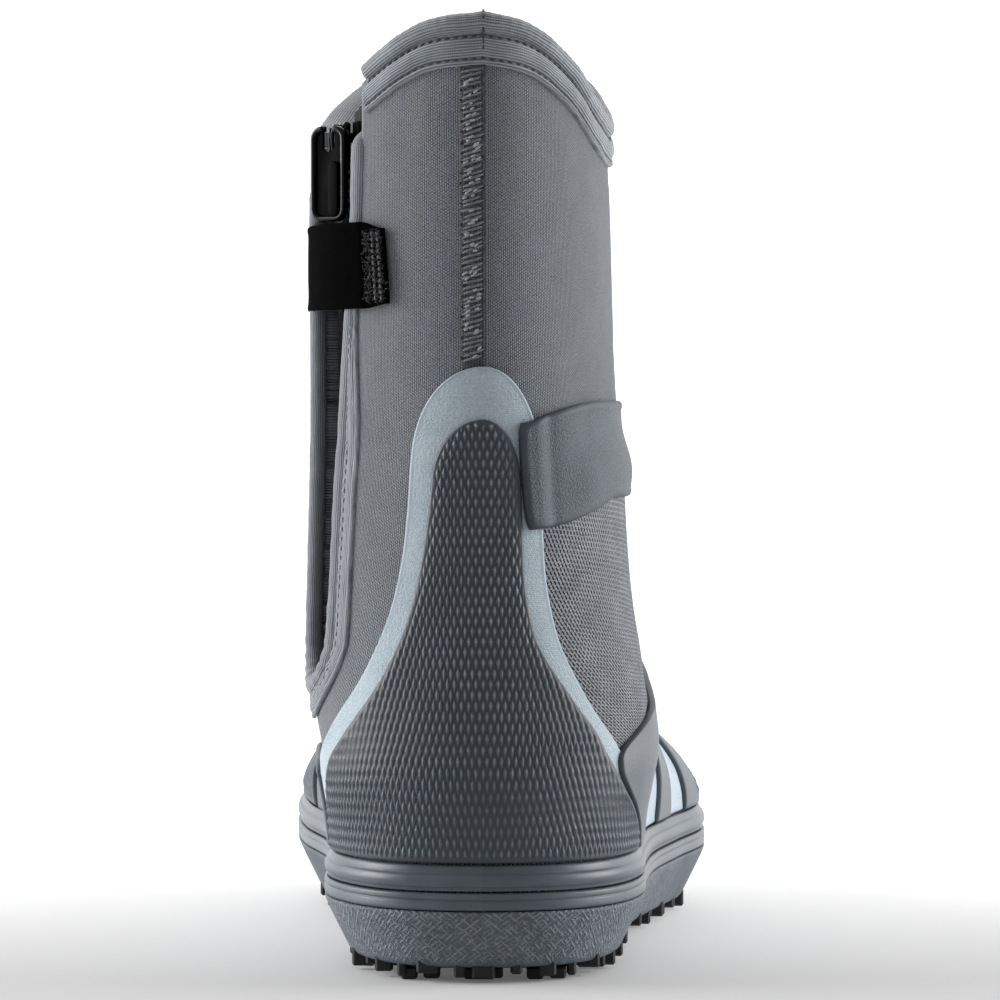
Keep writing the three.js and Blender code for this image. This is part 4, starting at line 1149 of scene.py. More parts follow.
def back_point(x, z, off):
    """A point of the heel's centre seam, x millimetres from its line."""
    x, z = np.broadcast_arrays(np.asarray(x, float), np.asarray(z, float))
    probe = np.full(z.shape, 0.06)
    ring = ring_at(0 * z, z)
    reach = surface(probe, ring)[..., 0] - surface(0 * probe, ring)[..., 0]
    return skin(x / reach * probe, ring, off)


BACK_SEAM_X = -2.2


def add_back_seam():
    """A strip over the heel's centre seam, covered by uneven slanting stitches."""
    low, high = 156.5, rim_at(np.zeros(1))[0] - COLLAR_HEIGHT - 0.4

    def where(a, b):
        z = lerp(low - 2.0, high + 1.6, b)
        probe = np.full(z.shape, 0.06)
        ring = ring_at(0 * z, z)
        reach = surface(probe, ring)[..., 0] - surface(0 * probe, ring)[..., 0]
        return (lerp(-2.3, 3.1, a) + BACK_SEAM_X) / reach * probe, ring

    def profile(u, v, edge, a, b):
        ridge = 0.14 * np.sin(v * 2 * np.pi / 2.4 + u * 1.1)
        return smooth(edge, 0, 0.9) * (0.3 + ridge + 0.16 * waves(u, v, 2.2, 61))

    strip = overlay("back_seam", where, 0.2, -0.4, SEAM_TAPE, cell=(0.35, 0.4), radius=0.2, relief=profile)
    place(strip, "boot", "jersey", "back_seam")
    rng = np.random.default_rng(3)

    def stitches(name, x, z, slope, thick, material, off, lift):
        count = len(z)
        jitter = rng.normal(0, 0.16, (4, count))
        zero = np.zeros(count)
        starts = back_point(BACK_SEAM_X + x[0] + jitter[0], z - slope + jitter[1], off)
        ends = back_point(BACK_SEAM_X + x[1] + jitter[2], z + slope + jitter[3], off)
        return threads(name, starts, ends, normal_at(zero, ring_at(zero, z)), thick, material, lift)

    rows = np.arange(low + 1.2, high - 0.8, 1.3)
    spots = np.sort(rng.uniform(low + 1.5, high - 1.5, 70))
    middle = rng.uniform(-1.4, 1.4, 70)
    parts = [
        stitches("seam_bars", (-1.9, 1.9), rows, 0.75, 0.36, SEAM_THREAD, 0.62, 0.22),
        stitches("seam_return", (1.5, -1.5), rows + 0.6, 0.4, 0.26, THREAD, 0.62, 0.3),
        stitches("seam_loops", (middle - 0.5, middle + 0.5), spots, 0.35, 0.28, PALE_THREAD, 0.75, 0.3),
        stitches("seam_holes_left", (-2.35, -2.0), rows[::2], 0.25, 0.3, BLACK_THREAD, 0.3, 0.1),
        stitches("seam_holes_right", (2.0, 2.4), rows[1::2], 0.25, 0.3, BLACK_THREAD, 0.3, 0.1),
    ]
    place(join("seam_stitches", parts), "boot", "jersey")


# ---- zip ----
ROLL = {"back": 2.8, "front": 2.2, "top": 216.5}


def zip_axes():
    foot = on_inner(ZIP_Y, ZIP_Z)
    out = on_inner(ZIP_Y, ZIP_Z, 1.0) - foot
    turn = math.atan2(out[1], out[0])
    axes = np.array([[math.cos(turn), math.sin(turn), 0], [-math.sin(turn), math.cos(turn), 0], [0, 0, 1]])
    return np.array([foot[0], foot[1], 0]), axes


ZIP_FRAME = zip_axes()


def in_zip(points, turn=0.0, origin=(0, 0, 0)):
    """Points from the zip's axes (x out of the boot, y backwards, z up) to the boot's."""
    c, s = math.cos(rad(turn)), math.sin(rad(turn))
    local = np.asarray(points, float) @ np.array([[c, s, 0], [-s, c, 0], [0, 0, 1]]) + np.asarray(origin,
                                                                                                  float)
    return ZIP_FRAME[0] + local @ ZIP_FRAME[1]


def add_zip_binding():
    share = np.concatenate([np.linspace(0, 0.4, 150), np.linspace(0.4, 0.6, 70)[1:],
                            np.linspace(0.6, 1, 150)[1:]])
    y, z = slot_edge(share, 0.0, ROLL["top"])
    angle = inner_angle(y, z)
    ring = ring_at(angle, z)
    front = smooth(share, 0.47, 0.62)
    tuck = front * smooth(z, 200, 210) + (1 - front) * smooth(z, 212, 216.5)
    path, out = skin(angle, ring, lerp(-0.9, 0.8, front) - lerp(2.4, 5.0, front) * tuck), normal_at(angle,
                                                                                                    ring)
    along = arc(path, 0)
    bend = smooth(share, 0.33, 0.45) * (1 - smooth(share, 0.55, 0.67))
    pucker = 0.06 * bend * np.sin(along * 2 * np.pi / 4.3) + 0.035 * waves(along, 0 * along, 9, 8)
    pucker = pucker + 0.008 * np.sin(along * 2 * np.pi / 2.4)
    radius = lerp(ROLL["back"], ROLL["front"], front) * (1 - 0.35 * tuck)
    section = circle(24)[None] * (radius * (1 + pucker))[:, None, None]
    fold = 1 + 0.06 * bend[:, None] * np.sin(np.arange(24) / 24 * 4 * np.pi + 1.0)[None]
    roll = swept("zip_binding", path, section * fold[..., None], FACING, across=out)
    place(roll, "boot", "jersey", "zip_binding")


FACING_TOP = 186.0


def facing_outset(z, share):
    """How far out of the slot's edge a share of the facing's width lies at a height."""
    return share * (8.2 - 5.4 * smooth(z, 128, 176))


def add_zip_facing():
    def where(a, b):
        share = lerp(1.0, 0.3, b)
        _, z = slot_edge(1 - a, 0.0, FACING_TOP)
        y, z = slot_edge(1 - a, facing_outset(z, share), FACING_TOP)
        angle = inner_angle(y, z)
        return angle, ring_at(angle, z)

    def profile(u, v, edge, a, b):
        _, z = slot_edge(1 - a, 0.0, FACING_TOP)
        h = facing_outset(z, lerp(0.0, 0.7, b)) * 1.0
        piping = 0.55 * np.sqrt(np.maximum(1 - ((h - 0.6) / 0.6) ** 2, 0))
        band = 0.6 * np.sqrt(np.maximum(1 - ((h - 2.9) / 1.6) ** 2, 0))
        inner_band = 0.5 * np.sqrt(np.maximum(1 - ((h - 5.4) / 0.9) ** 2, 0))
        turn = smooth(1 - a, 0.36, 0.45) * (1 - smooth(1 - a, 0.55, 0.64))
        pucker = 0.22 * turn * np.sin(u * 2 * np.pi / 3.1) * smooth(h, 0.8, 2.5)
        return np.maximum(np.maximum(piping, band), inner_band) + pucker + 0.12 * waves(u, v * 2, 10, 9)

    facing = overlay("zip_facing", where, 0.55, 0.0, FACING, cell=(0.9, 0.3), radius=0.3, relief=profile)
    place(facing, "boot", "jersey", "zip_facing")
    share = np.linspace(0.004, 0.996, 400)
    _, z = slot_edge(share, 0.0, FACING_TOP)
    y, z = slot_edge(share, facing_outset(z, 0.44), FACING_TOP)
    angle = inner_angle(y, z)
    ring = ring_at(angle, z)
    row = stitch_row("zip_stitches", skin(angle, ring, 0.75), normal_at(angle, ring), 2.5, 1.8, 0.34,
                     PALE_THREAD)
    place(row, "boot", "jersey")


def add_gusset():
    def depth(b):
        return -9.4 - 3.4 * (1 - smooth(b, 0.1, 0.42))

    def where(a, b):
        z = lerp(74.0, 224.0, b)
        angle = inner_angle(lerp(86.0, 31.0, a), z)
        return angle, ring_at(angle, z)

    def fold(u, v, edge, a, b):
        return 0.8 * np.cos((a - 0.5) * 2 * np.pi * 2) + 0.3 * waves(u, v, 18, 12)

    # The gusset's near-black colour is painted shade for the slot's recess.
    gusset = overlay("zip_gusset", where, lambda a, b: depth(b) - 0.3, lambda a, b: depth(b) - 1.5,
                     GUSSET_SHADE_JERSEY, cell=(1.2, 2.5), radius=0.5, relief=fold)
    place(gusset, "boot", "jersey", "zip_gusset")


def zip_blocks(name, lows, highs, material, bevel):
    return blocks(name, lows, highs, material, bevel, body_axes=ZIP_FRAME)


ZIP_TOP = 219.6


def add_zip_rows():
    low, high, pitch = 91.0, 211.0, 2.5
    for name, side in (("back", 1), ("front", -1)):
        shift = 0.0 if side > 0 else pitch / 2
        z = np.arange(low + shift, high, pitch)
        lows, highs = [], []
        for at in z:
            near, far = sorted((side * 0.35, side * 2.3))
            lows.append((-6.9, near, at))
            highs.append((-4.8, far, at + 1.35))
            near, far = sorted((side * 1.9, side * 3.1))
            lows.append((-6.5, near, at + 0.1))
            highs.append((-5.2, far, at + 1.25))
        teeth = zip_blocks("zip_teeth_" + name, lows, highs, MATT_PLASTIC, 0.35)
        place(teeth, "boot", "black_plastic", "zip_teeth_" + name)
        near, far = sorted((side * 2.2, side * 8.8))
        tape = zip_blocks("zip_tape_" + name, [(-6.2, near, 84)], [(-5.5, far, ZIP_TOP)], TAPE, 0.25)
        bead_y = side * 2.3
        z_line = np.linspace(84, ZIP_TOP, 60)
        # This path runs along the sweep's start vector, so the bead collapses to a point.
        bead = swept("zip_bead", in_zip(np.stack([0 * z_line - 5.85, 0 * z_line + bead_y, z_line], -1)),
                     circle(8, 0.55), TAPE)
        place(join("zip_tape_" + name, [tape, bead]), "boot", "black_web", "zip_tape_" + name)
        near, far = sorted((side * 0.4, side * 3.4))
        stop = zip_blocks("zip_top_stop_" + name, [(-4.8, near, ZIP_TOP - 1.9)], [(-2.9, far, ZIP_TOP)],
                          BLACK_PLASTIC, 0.5)
        place(stop, "boot", "black_plastic", "zip_top_stop_" + name)
    stop = zip_blocks("zip_bottom_stop", [(-5, -3, 85)], [(-3.4, 3, 89)], BLACK_PLASTIC, 0.6)
    place(stop, "boot", "black_plastic", "zip_bottom_stop")


def face_levels(low, high, bevel):
    """Insets and heights of a slab with rounded rims."""
    turn = np.linspace(0, np.pi / 2, 4)
    up = [(bevel * (1 - math.sin(t)), low + bevel * (1 - math.cos(t))) for t in turn]
    down = [(bevel * (1 - math.sin(t)), high - bevel * (1 - math.cos(t))) for t in turn[::-1]]
    return up + down


def add_slider():
    half, low, high = 4.6, 208.5, 217.3
    shield = rounded_rect(2 * half, high - low, 1.8, (0, (low + high) / 2), 5)
    waist = 1 - 0.16 * smooth(-shield[:, 1], -low - 4.5, -low)
    shield = np.stack([shield[:, 0] * waist, shield[:, 1]], -1)

    def plate(name, x0, x1):
        return slab(name, shield, face_levels(x0, x1, 0.35), lambda p: in_zip(p[:, [2, 0, 1]]), BLACK_PLASTIC)

    parts = [plate("plate_out", -4.3, -3.1), plate("plate_in", -8.7, -7.5)]
    parts.append(zip_blocks("wedge", [(-8.2, -0.3, high - 3)], [(-3.6, 0.3, high - 0.4)], BLACK_PLASTIC,
                            0.12))
    place(join("zip_slider", parts), "slider", "black_plastic", "zip_slider")
    arch = np.array([[-3.3, 210.4], [-1.9, 210.9], [-1.0, 212.4], [-0.65, 215.2], [-0.9, 217.6],
                     [-1.9, 218.8], [-3.3, 216.9]])
    x, z = smooth_line(arch, 40).T
    line = in_zip(np.stack([x, 0 * x, z], -1))
    bridge = swept("slider_bridge", line, circle(10, 0.5, 0.75), BLACK_PLASTIC,
                   across=ZIP_FRAME[1][0] + 0 * line)
    place(bridge, "slider", "black_plastic", "slider_bridge")


def smooth_line(points, count):
    return table_at(points, np.linspace(0, len(points) - 1, count))


PULL = {"width": 11.6, "height": 25.0, "turn": 37.0, "at": (-1.9, 0.0, 217.8), "out": 3.2, "high": 0.7}


def in_pull(points):
    return in_zip(points, PULL["turn"], PULL["at"])


def add_pull():
    pin_y = np.linspace(-2.2, 2.2, 6)
    pin = swept("pin", in_pull(np.stack([0 * pin_y, pin_y, 0 * pin_y], -1)), circle(10, 0.42), BLACK_PLASTIC)
    parts = [pin]
    for side in (-1, 1):
        arm = np.array([[0.35, side * 1.75, 0.3], [0.55, side * 1.75, -1.6], [0.6, side * 1.7, -3.6],
                        [0.6, side * 1.5, -5.6]])
        parts.append(swept("arm", in_pull(smooth_line(arm, 14)), circle(10, 0.5, 0.55), BLACK_PLASTIC))
    outline = rounded_rect(4.4, 14.2, 1.3, (0, -11.9), 5)
    parts.append(slab("link", outline, face_levels(0.1, 1.1, 0.35), lambda p: in_pull(p[:, [2, 0, 1]]),
                      BLACK_PLASTIC))
    place(join("pull_link", parts), "pull", "black_plastic", "pull_link")

    width, height = PULL["width"], PULL["height"]
    middle = PULL["high"] - height / 2
    rim = rounded_rect(width - 1.6, height - 1.6, 2.6, (0, middle), 8)
    start = int(np.argmax(np.where(rim[:, 0] <= -1.75, rim[:, 1] - np.abs(rim[:, 0]) * 0.01, -99)))
    rim = np.roll(rim, -start, 0)
    rim = rim[~((np.abs(rim[:, 0]) < 1.7) & (rim[:, 1] > middle))]
    top = PULL["high"] - 0.8
    rim = np.concatenate([[[-1.75, top]], rim, [[1.75, top]]])
    steps = arc(rim, 0)
    fine = np.linspace(0, steps[-1], 120)
    rim = np.stack([np.interp(fine, steps, rim[:, k]) for k in (0, 1)], -1)
    line = in_pull(np.stack([0 * fine + PULL["out"], rim[:, 0], rim[:, 1]], -1))
    turn = np.arange(16) / 16 * 2 * np.pi
    section = np.stack([np.sign(np.cos(turn)) * np.abs(np.cos(turn)) ** 0.6 * 1.1,
                        np.sign(np.sin(turn)) * np.abs(np.sin(turn)) ** 0.6 * 0.8], -1)
    out = in_pull(np.array([[1.0, 0, 0]])) - in_pull(np.zeros((1, 3)))
    parts = [swept("rim", line, section, BLACK_PLASTIC, across=out + 0 * line)]
    foot, head = middle - height / 2 + 0.9, PULL["high"] - 0.9
    plate = rounded_rect(width - 1.6, height - 1.8, 2.0, (0, middle), 6)
    above = plate[:, 1] > middle
    right, left = plate[above & (plate[:, 0] > 0)], plate[above & (plate[:, 0] < 0)]
    notch = np.array([[1.9, head], [1.9, -5.0], [1.2, -5.8], [0, -6.1], [-1.2, -5.8], [-1.9, -5.0],
                      [-1.9, head]])
    below = plate[~above]
    outline = np.concatenate([right[right[:, 0] > 2.0], notch[::1], left[left[:, 0] < -2.0], below])
    parts.append(slab("floor", outline, face_levels(2.6, 3.5, 0.2), lambda p: in_pull(p[:, [2, 0, 1]]),
                      MATT_PLASTIC))
    tongue = rounded_rect(3.4, 14.5, 1.6, (2.3, foot + 7.6), 6)
    parts.append(slab("tongue", tongue, face_levels(3.3, 4.7, 0.5), lambda p: in_pull(p[:, [2, 0, 1]]),
                      MATT_PLASTIC))
    place(join("zip_pull", parts), "pull", "black_plastic", "zip_pull")


# ---- guard tab ----
GUARD = {"low": 170.5, "high": 192.8, "anchor": 29.0, "end": 91.5}


def guard_where(front, back, margin=0.0):
    def where(a, b):
        y = lerp(front, back, a)
        end = 1 - smooth(y, GUARD["anchor"], GUARD["anchor"] + 7)
        z = lerp(GUARD["low"] + margin + 1.2 * end, GUARD["high"] - margin - 1.8 * end, b)
        angle = inner_angle(y, z)
        return angle, ring_at(angle, z)

    return where


def add_guard():
    front, back = GUARD["end"], GUARD["anchor"]

    def inner(a, b):
        y = lerp(front, back, a)
        over = smooth(y, 42, 50) * (1 - smooth(y, 66, 74))
        return lerp(1.7, 2.0, smooth(y, 34.5, 36.0)) + 0.3 * over

    def outer(a, b):
        y = lerp(front, back, a)
        return inner(a, b) + lerp(0.8, 1.1, smooth(y, 34.5, 36.0))

    def relief(u, v, edge, a, b):
        y = lerp(front, back, a)
        column = np.exp(-(((y - 30.4) / 0.5) ** 2)) + np.exp(-(((y - 31.9) / 0.5) ** 2))
        selvedge = 0.18 * np.exp(-(((edge - 0.9) / 0.6) ** 2))
        return selvedge - 0.3 * column * (y < 34.5) + 0.08 * waves(u, v, 9, 21)

    band = overlay("guard_tab", guard_where(front, back), outer, inner, WEB, cell=(0.6, 0.8), radius=0.35,
                   relief=relief)
    points = [on_inner(np.array([y]), np.array([182.0]), 2.5)[0] for y in (33.2, 37.6)]
    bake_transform(band)
    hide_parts("guard_tab", "guard_anchor")

    pieces = []
    for y, off in ((30.4, 2.5), (31.9, 2.5)):
        z = np.linspace(GUARD["low"] + 1.5, GUARD["high"] - 1.5, 60)
        angle = inner_angle(0 * z + y, z)
        ring = ring_at(angle, z)
        pieces.append(stitch_row("row", skin(angle, ring, off), normal_at(angle, ring), 1.5, 1.15, 0.32,
                                 GREY_THREAD, 0.4))
    place(join("guard_stitches", pieces), "boot", "black_web")
    rng = np.random.default_rng(7)
    count = 620
    y, z = rng.uniform(29.4, 35.0, count), rng.uniform(GUARD["low"] + 1.6, GUARD["high"] - 2.2, count)
    angle = inner_angle(y, z)
    ring = ring_at(angle, z)
    base, up = skin(angle, ring, 2.5), normal_at(angle, ring)
    lean = rng.normal(0, 0.45, (count, 3))
    place(threads("guard_hooks", base, base + lean, up, 0.09, BLACK_THREAD, 0.55, 4, 5), "boot", "black_web")

    for name, span, offs, body, margin in (
        ("guard_loop_patch", (83.5, 93.0), (1.3, 0.3), "boot", 1.0),
        ("guard_hook", (84.0, 91.0), (1.9, 1.35), "guard", 1.5),
    ):
        patch = overlay(name, guard_where(span[1], span[0], margin), *offs, HOOK_TAPE, cell=0.8, radius=0.3,
                        relief=lambda u, v, edge, a, b: 0.1 * waves(u, v, 1.6, 3))
        place(patch, body, "black_web", name)


# ---- rubber overlays ----
def heel_where(which, shoulder, top, straight=0.62):
    """Rows up a heel piece: straight to its shoulder, then on an ellipse to its rounded top."""

    def where(a, b):
        share = np.clip((b - straight) / (1 - straight), 0, 1)
        low = lerp(OVERLAY_FOOT, shoulder, np.minimum(b / straight, 1))
        turn = share * rad(87)
        z = np.where(b > straight, shoulder + (top - shoulder) * np.sin(turn), low)
        inner, outer = (
            np.where(b > straight, heel_edge(shoulder + 0 * z, which, o) * np.cos(turn),
                     heel_edge(z, which, o))
            for o in (False, True)
        )
        angle = lerp(-inner, outer, a)
        return angle, ring_at(angle, z)

    return where


LOZENGE = {"across": 1.67, "along": (5.95, 0.0081), "height": 0.75}


def lozenges(u, v, edge, scale=1.0):
    """Two staggered lattices of domed diamonds, shorter higher up, fading out at the edge."""
    longest, shrink = LOZENGE["along"]
    rows = -np.log(longest - shrink * v) / shrink

    def lattice(shift):
        x = u / (LOZENGE["across"] * scale) + shift
        y = rows / scale + shift
        return 2 * np.abs(x - np.round(x)) + 2 * np.abs(y - np.round(y))

    dome = np.clip(1 - np.minimum(lattice(0), lattice(0.5)), 0, 1) ** 1.5
    return LOZENGE["height"] * dome * smooth(edge, 0.5, 2.4)


def lipped(u, v, edge, a, b):
    """A thin moulded lip along the edge and a slightly uneven face."""
    return 0.12 * np.exp(-(((edge - 0.7) / 0.5) ** 2)) + 0.06 * waves(u, v, 14, 31)


def add_heel():
    trim = overlay("heel_trim", heel_where(2, 132, 155.5), 1.9, 0.4, PALE_RUBBER, cell=(1.1, 1.1), radius=0.8,
                   relief=lipped, upright=True)
    place(trim, "boot", "pale_rubber", "heel_trim")
    where = heel_where(1, 126, 142)

    def counter_relief(u, v, edge, a, b):
        angle, _ = where(a, b)
        middle = np.array([np.interp(0.0, angle[:, k], u[:, k]) for k in range(u.shape[1])])
        return lozenges(u - middle, v, edge)

    counter = overlay("heel_counter", where, 3.0, 1.2, COUNTER_RUBBER, cell=(0.225, 0.42), radius=0.8,
                      relief=counter_relief, step=8, upright=True)
    place(counter, "boot", "dark_rubber", "heel_counter")


def slanted(side, foot, head, rings, bow=1.0):
    """A slanting piece of the side, from its degrees at the foxing to those at its rings above."""

    def where(a, b):
        across = a if side > 0 else 1 - a
        degrees = lerp(lerp(foot[0], foot[1], across), lerp(head[0], head[1], across), b**bow)
        angle = np.radians(degrees) * side
        low = ring_at(angle, OVERLAY_FOOT + spring(along_foot(angle)))
        return angle, lerp(low, lerp(rings[0], rings[1], across) - 0.2 * np.abs(2 * a - 1) ** 6, b)

    return where


# Heights and back and front angles. The lower back angles follow HEEL_EDGES_OUTER.
FIRST_RIB = [[30.8, 45.6, 61], [37, 43.6, 63], [43, 38.8, 66], [48, 34, 68], [53, 30.8, 70], [58, 32.5, 73],
             [64, 45, 77],
             [70, 62, 83], [75, 77, 89], [78, 87, 93]]


def first_rib(a, b):
    """The rib beside the heel counter, whose back edge leans away from it above the ankle."""
    rows = table_at(FIRST_RIB, np.linspace(0, len(FIRST_RIB) - 1, 120))
    height = lerp(rows[0, 0], rows[-1, 0], b)
    back, front = (np.radians(np.interp(height, rows[:, 0], rows[:, k])) for k in (1, 2))
    angle = lerp(back, front, a)
    return angle, ring_at(angle, height + spring(along_foot(angle)) - 2.0 * a**6 * b**4)


def add_sides():
    ribs = {
        "outer": [None, ((79, 86), (94, 100.5), (5.8, 5.6)), ((95, 102), (107.5, 114.5), (5.2, 4.7))],
        "inner": [((49, 61), (54, 70), (3.5, 4)), ((67, 76), (77, 87), (4, 4.2)),
                  ((81, 97), (94, 108), (4.3, 4.5))],
    }
    for name, side, head in (("outer", 1, (4.2, 5)), ("inner", -1, (3.3, 4.2))):
        wrap = overlay(name + "_side_wrap", slanted(side, (48, 99), (44, 112), head), 1.7, 0.4, PALE_RUBBER,
                       cell=1.0, radius=0.6, relief=lipped)
        place(wrap, "boot", "pale_rubber", name + "_side_wrap")
        for k, rib in enumerate(ribs[name]):
            node = f"{name}_rib_{k + 1}"
            where = slanted(side, *rib) if rib else first_rib
            made = overlay(node, where, 3.1, 1.2, RIB_RUBBER, cell=0.8, radius=1.1, relief=lipped)
            place(made, "boot", "dark_rubber", node)


def add_front():
    def cap(a, b):
        half = lerp(79, 60, b)
        angle = np.radians(lerp(180 - half, 180 + half, a))
        low = ring_at(angle, OVERLAY_FOOT + spring(along_foot(angle)))
        return angle, lerp(low, lerp(2.9, 3.3, np.abs(2 * a - 1)), b)

    def cap_relief(u, v, edge, a, b):
        return lozenges(u, v, edge - 1.5, scale=1.25)

    toe = overlay("toe_cap", cap, 2.3, 0.5, COUNTER_RUBBER, cell=(0.3, 0.45), radius=0.9, relief=cap_relief,
                  step=8)
    place(toe, "boot", "dark_rubber", "toe_cap")

    def pad(a, b):
        half = lerp(58, 44, b)
        return np.radians(lerp(180 - half, 180 + half, a)), lerp(3.9, 7.4, b)

    def pad_relief(u, v, edge, a, b):
        groove = np.minimum(np.abs(np.abs(a - 0.5) * 2 - 0.36), np.abs(np.abs(a - 0.5) * 2 - 0.72)) * 60
        bars = 0.5 * smooth(groove, 0.4, 1.2)
        flex = 0.55 * np.exp(-(((v - np.round(v / 13) * 13) / 0.7) ** 2))
        return (bars - flex) * smooth(edge, 1.5, 3.0)

    instep = overlay("instep_pad", pad, 2.5, 0.6, RIB_RUBBER, cell=(0.6, 0.5), radius=0.8, relief=pad_relief)
    place(instep, "boot", "dark_rubber", "instep_pad")

    def panel(a, b):
        top = 124.0
        start = heel_edge(lerp(55, top, b), 2, True) - rad(1.0)
        angle = lerp(start, rad(94), a)
        return angle, lerp(lerp(4.1, 6.9, a), ring_at(angle, top), b)

    def panel_relief(u, v, edge, a, b):
        return 0.1 * waves(u, v, 20, 41)

    mesh = overlay("mesh_panel", panel, 1.2, 0.3, TWILL, cell=1.0, radius=0.35, relief=panel_relief)
    place(mesh, "boot", "twill", "mesh_panel")


# ---- ankle strap ----
STRAP = {"low": 113.8, "high": 141.2, "climb": (7.6, 5.6), "root": 120.0, "tip": 214.0}


def strap_where(start, end, margin=0.0):
    def where(a, b):
        angle = lerp(start(b), end(b), a)
        t = along_foot(angle)
        round_side = np.clip((np.sqrt(t) - 0.13) / 0.34, 0, 1)
        low = STRAP["low"] + STRAP["climb"][0] * round_side**2 * (1.6 - 0.6 * round_side) + margin
        high = STRAP["high"] + STRAP["climb"][1] * round_side * (1.5 - 0.5 * round_side**2) - margin
        return angle, ring_at(angle, lerp(low, high, b))

    return where


def add_strap():
    root, tip = rad(STRAP["root"]), rad(STRAP["tip"])

    def start(b):
        corner = 1.2 * (np.abs(2 * b - 1) ** 6)
        return np.radians(lerp(13.9, 12.2, b) + corner)

    def end(b):
        return tip - rad(4.5) * np.abs(2 * b - 1) ** 3

    where = strap_where(start, end)

    def inner(a, b):
        angle, _ = where(a, b)
        over = 0.5 + 1.9 * (1 - smooth(np.degrees(angle), 18.5, 26))
        return lerp(over, 3.2, smooth(angle, root - 0.07, root + 0.03))

    def outer(a, b):
        angle, _ = where(a, b)
        side = smooth(np.degrees(angle), 30, 45) * (1 - smooth(np.degrees(angle), 85, 105))
        sag = 1.3 * np.exp(-(((b - 0.28) / 0.24) ** 2)) - 0.9 * smooth(b, 0.4, 0.8)
        return inner(a, b) + lerp(1.7, 1.9, smooth(angle, root - 0.07, root + 0.03)) + side * sag

    def relief(u, v, edge, a, b):
        angle, _ = where(a, b)
        degrees = np.degrees(angle)
        step = 0.1 * np.exp(-(((degrees - 17.5) / 2.2) ** 2)) - 0.3 * np.exp(-(((degrees - 25) / 2.6) ** 2))
        rim = 0.3 * np.exp(-(((edge - 1.3) / 0.9) ** 2))
        return step + rim + 0.14 * waves(u, v, 24, 51)

    band = overlay("ankle_strap", where, outer, inner, STRAP_RUBBER, cell=(0.9, 0.8), radius=0.9,
                   relief=relief)
    for degrees in (STRAP["root"] - 1.0, STRAP["root"] + 2.5):
        angle = np.array([rad(degrees)])
        skin(angle, ring_at(angle, np.array([132.0])), 3.0)[0]
    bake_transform(band)
    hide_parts("ankle_strap", "strap_flap")

    def flat(degrees):
        def at(b):
            return rad(degrees) + 0 * b

        return at

    def rough(u, v, edge, a, b):
        return 0.1 * waves(u, v, 1.6, 3)

    loop = overlay("strap_loop_patch", strap_where(flat(STRAP["root"] + 4), flat(STRAP["tip"] - 3), 1), 1.7,
                   0.6,
                   HOOK_TAPE, cell=1.2, radius=0.3, relief=rough)
    place(loop, "boot", "black_web", "strap_loop_patch")
    hook = overlay("strap_hook_patch", strap_where(flat(STRAP["root"] + 40), flat(STRAP["tip"] - 6), 2),
                   3.3, 2.3,
                   HOOK_TAPE, cell=1.2, radius=0.3, relief=rough)
    place(hook, "strap_end", "black_web", "strap_hook_patch")


# ---- sole ----
def sole_points(angle, inset, z):
    edge = sole_edge(angle, inset)
    lift = spring(edge[..., 1] / LENGTH)
    return np.concatenate([edge, (z + lift)[..., None]], -1)


def sole_loop(name, section, material, count=420):
    """A closed section of insets and heights carried round the sole's outline."""
    angles = np.arange(count) / count * 2 * np.pi
    inset, z = np.asarray(section, float).T
    grid_a = np.broadcast_to(angles[:, None], (count, len(inset)))
    points = sole_points(grid_a, np.broadcast_to(inset, grid_a.shape), np.broadcast_to(z, grid_a.shape))
    k = len(inset)
    ids = np.arange(count * k).reshape(count, k)
    i, j = (x.ravel() for x in np.meshgrid(np.arange(count), np.arange(k), indexing="ij"))
    inx, jnx = (i + 1) % count, (j + 1) % k
    faces = np.stack([ids[i, j], ids[inx, j], ids[inx, jnx], ids[i, jnx]], -1)
    run = arc(np.concatenate([points[:, 0], points[:1, 0]]), 0)
    up = arc(np.concatenate([points[0], points[0][:1]]), 0)
    uv = np.stack([np.stack([run[i + p], up[j + q]], -1) for p, q in ((0, 0), (1, 0), (1, 1), (0, 1))], -2)
    return make_mesh(name, points.reshape(-1, 3), [faces], [uv], material,
                     {"edge": np.full(points[..., 0].size, 9.0)})


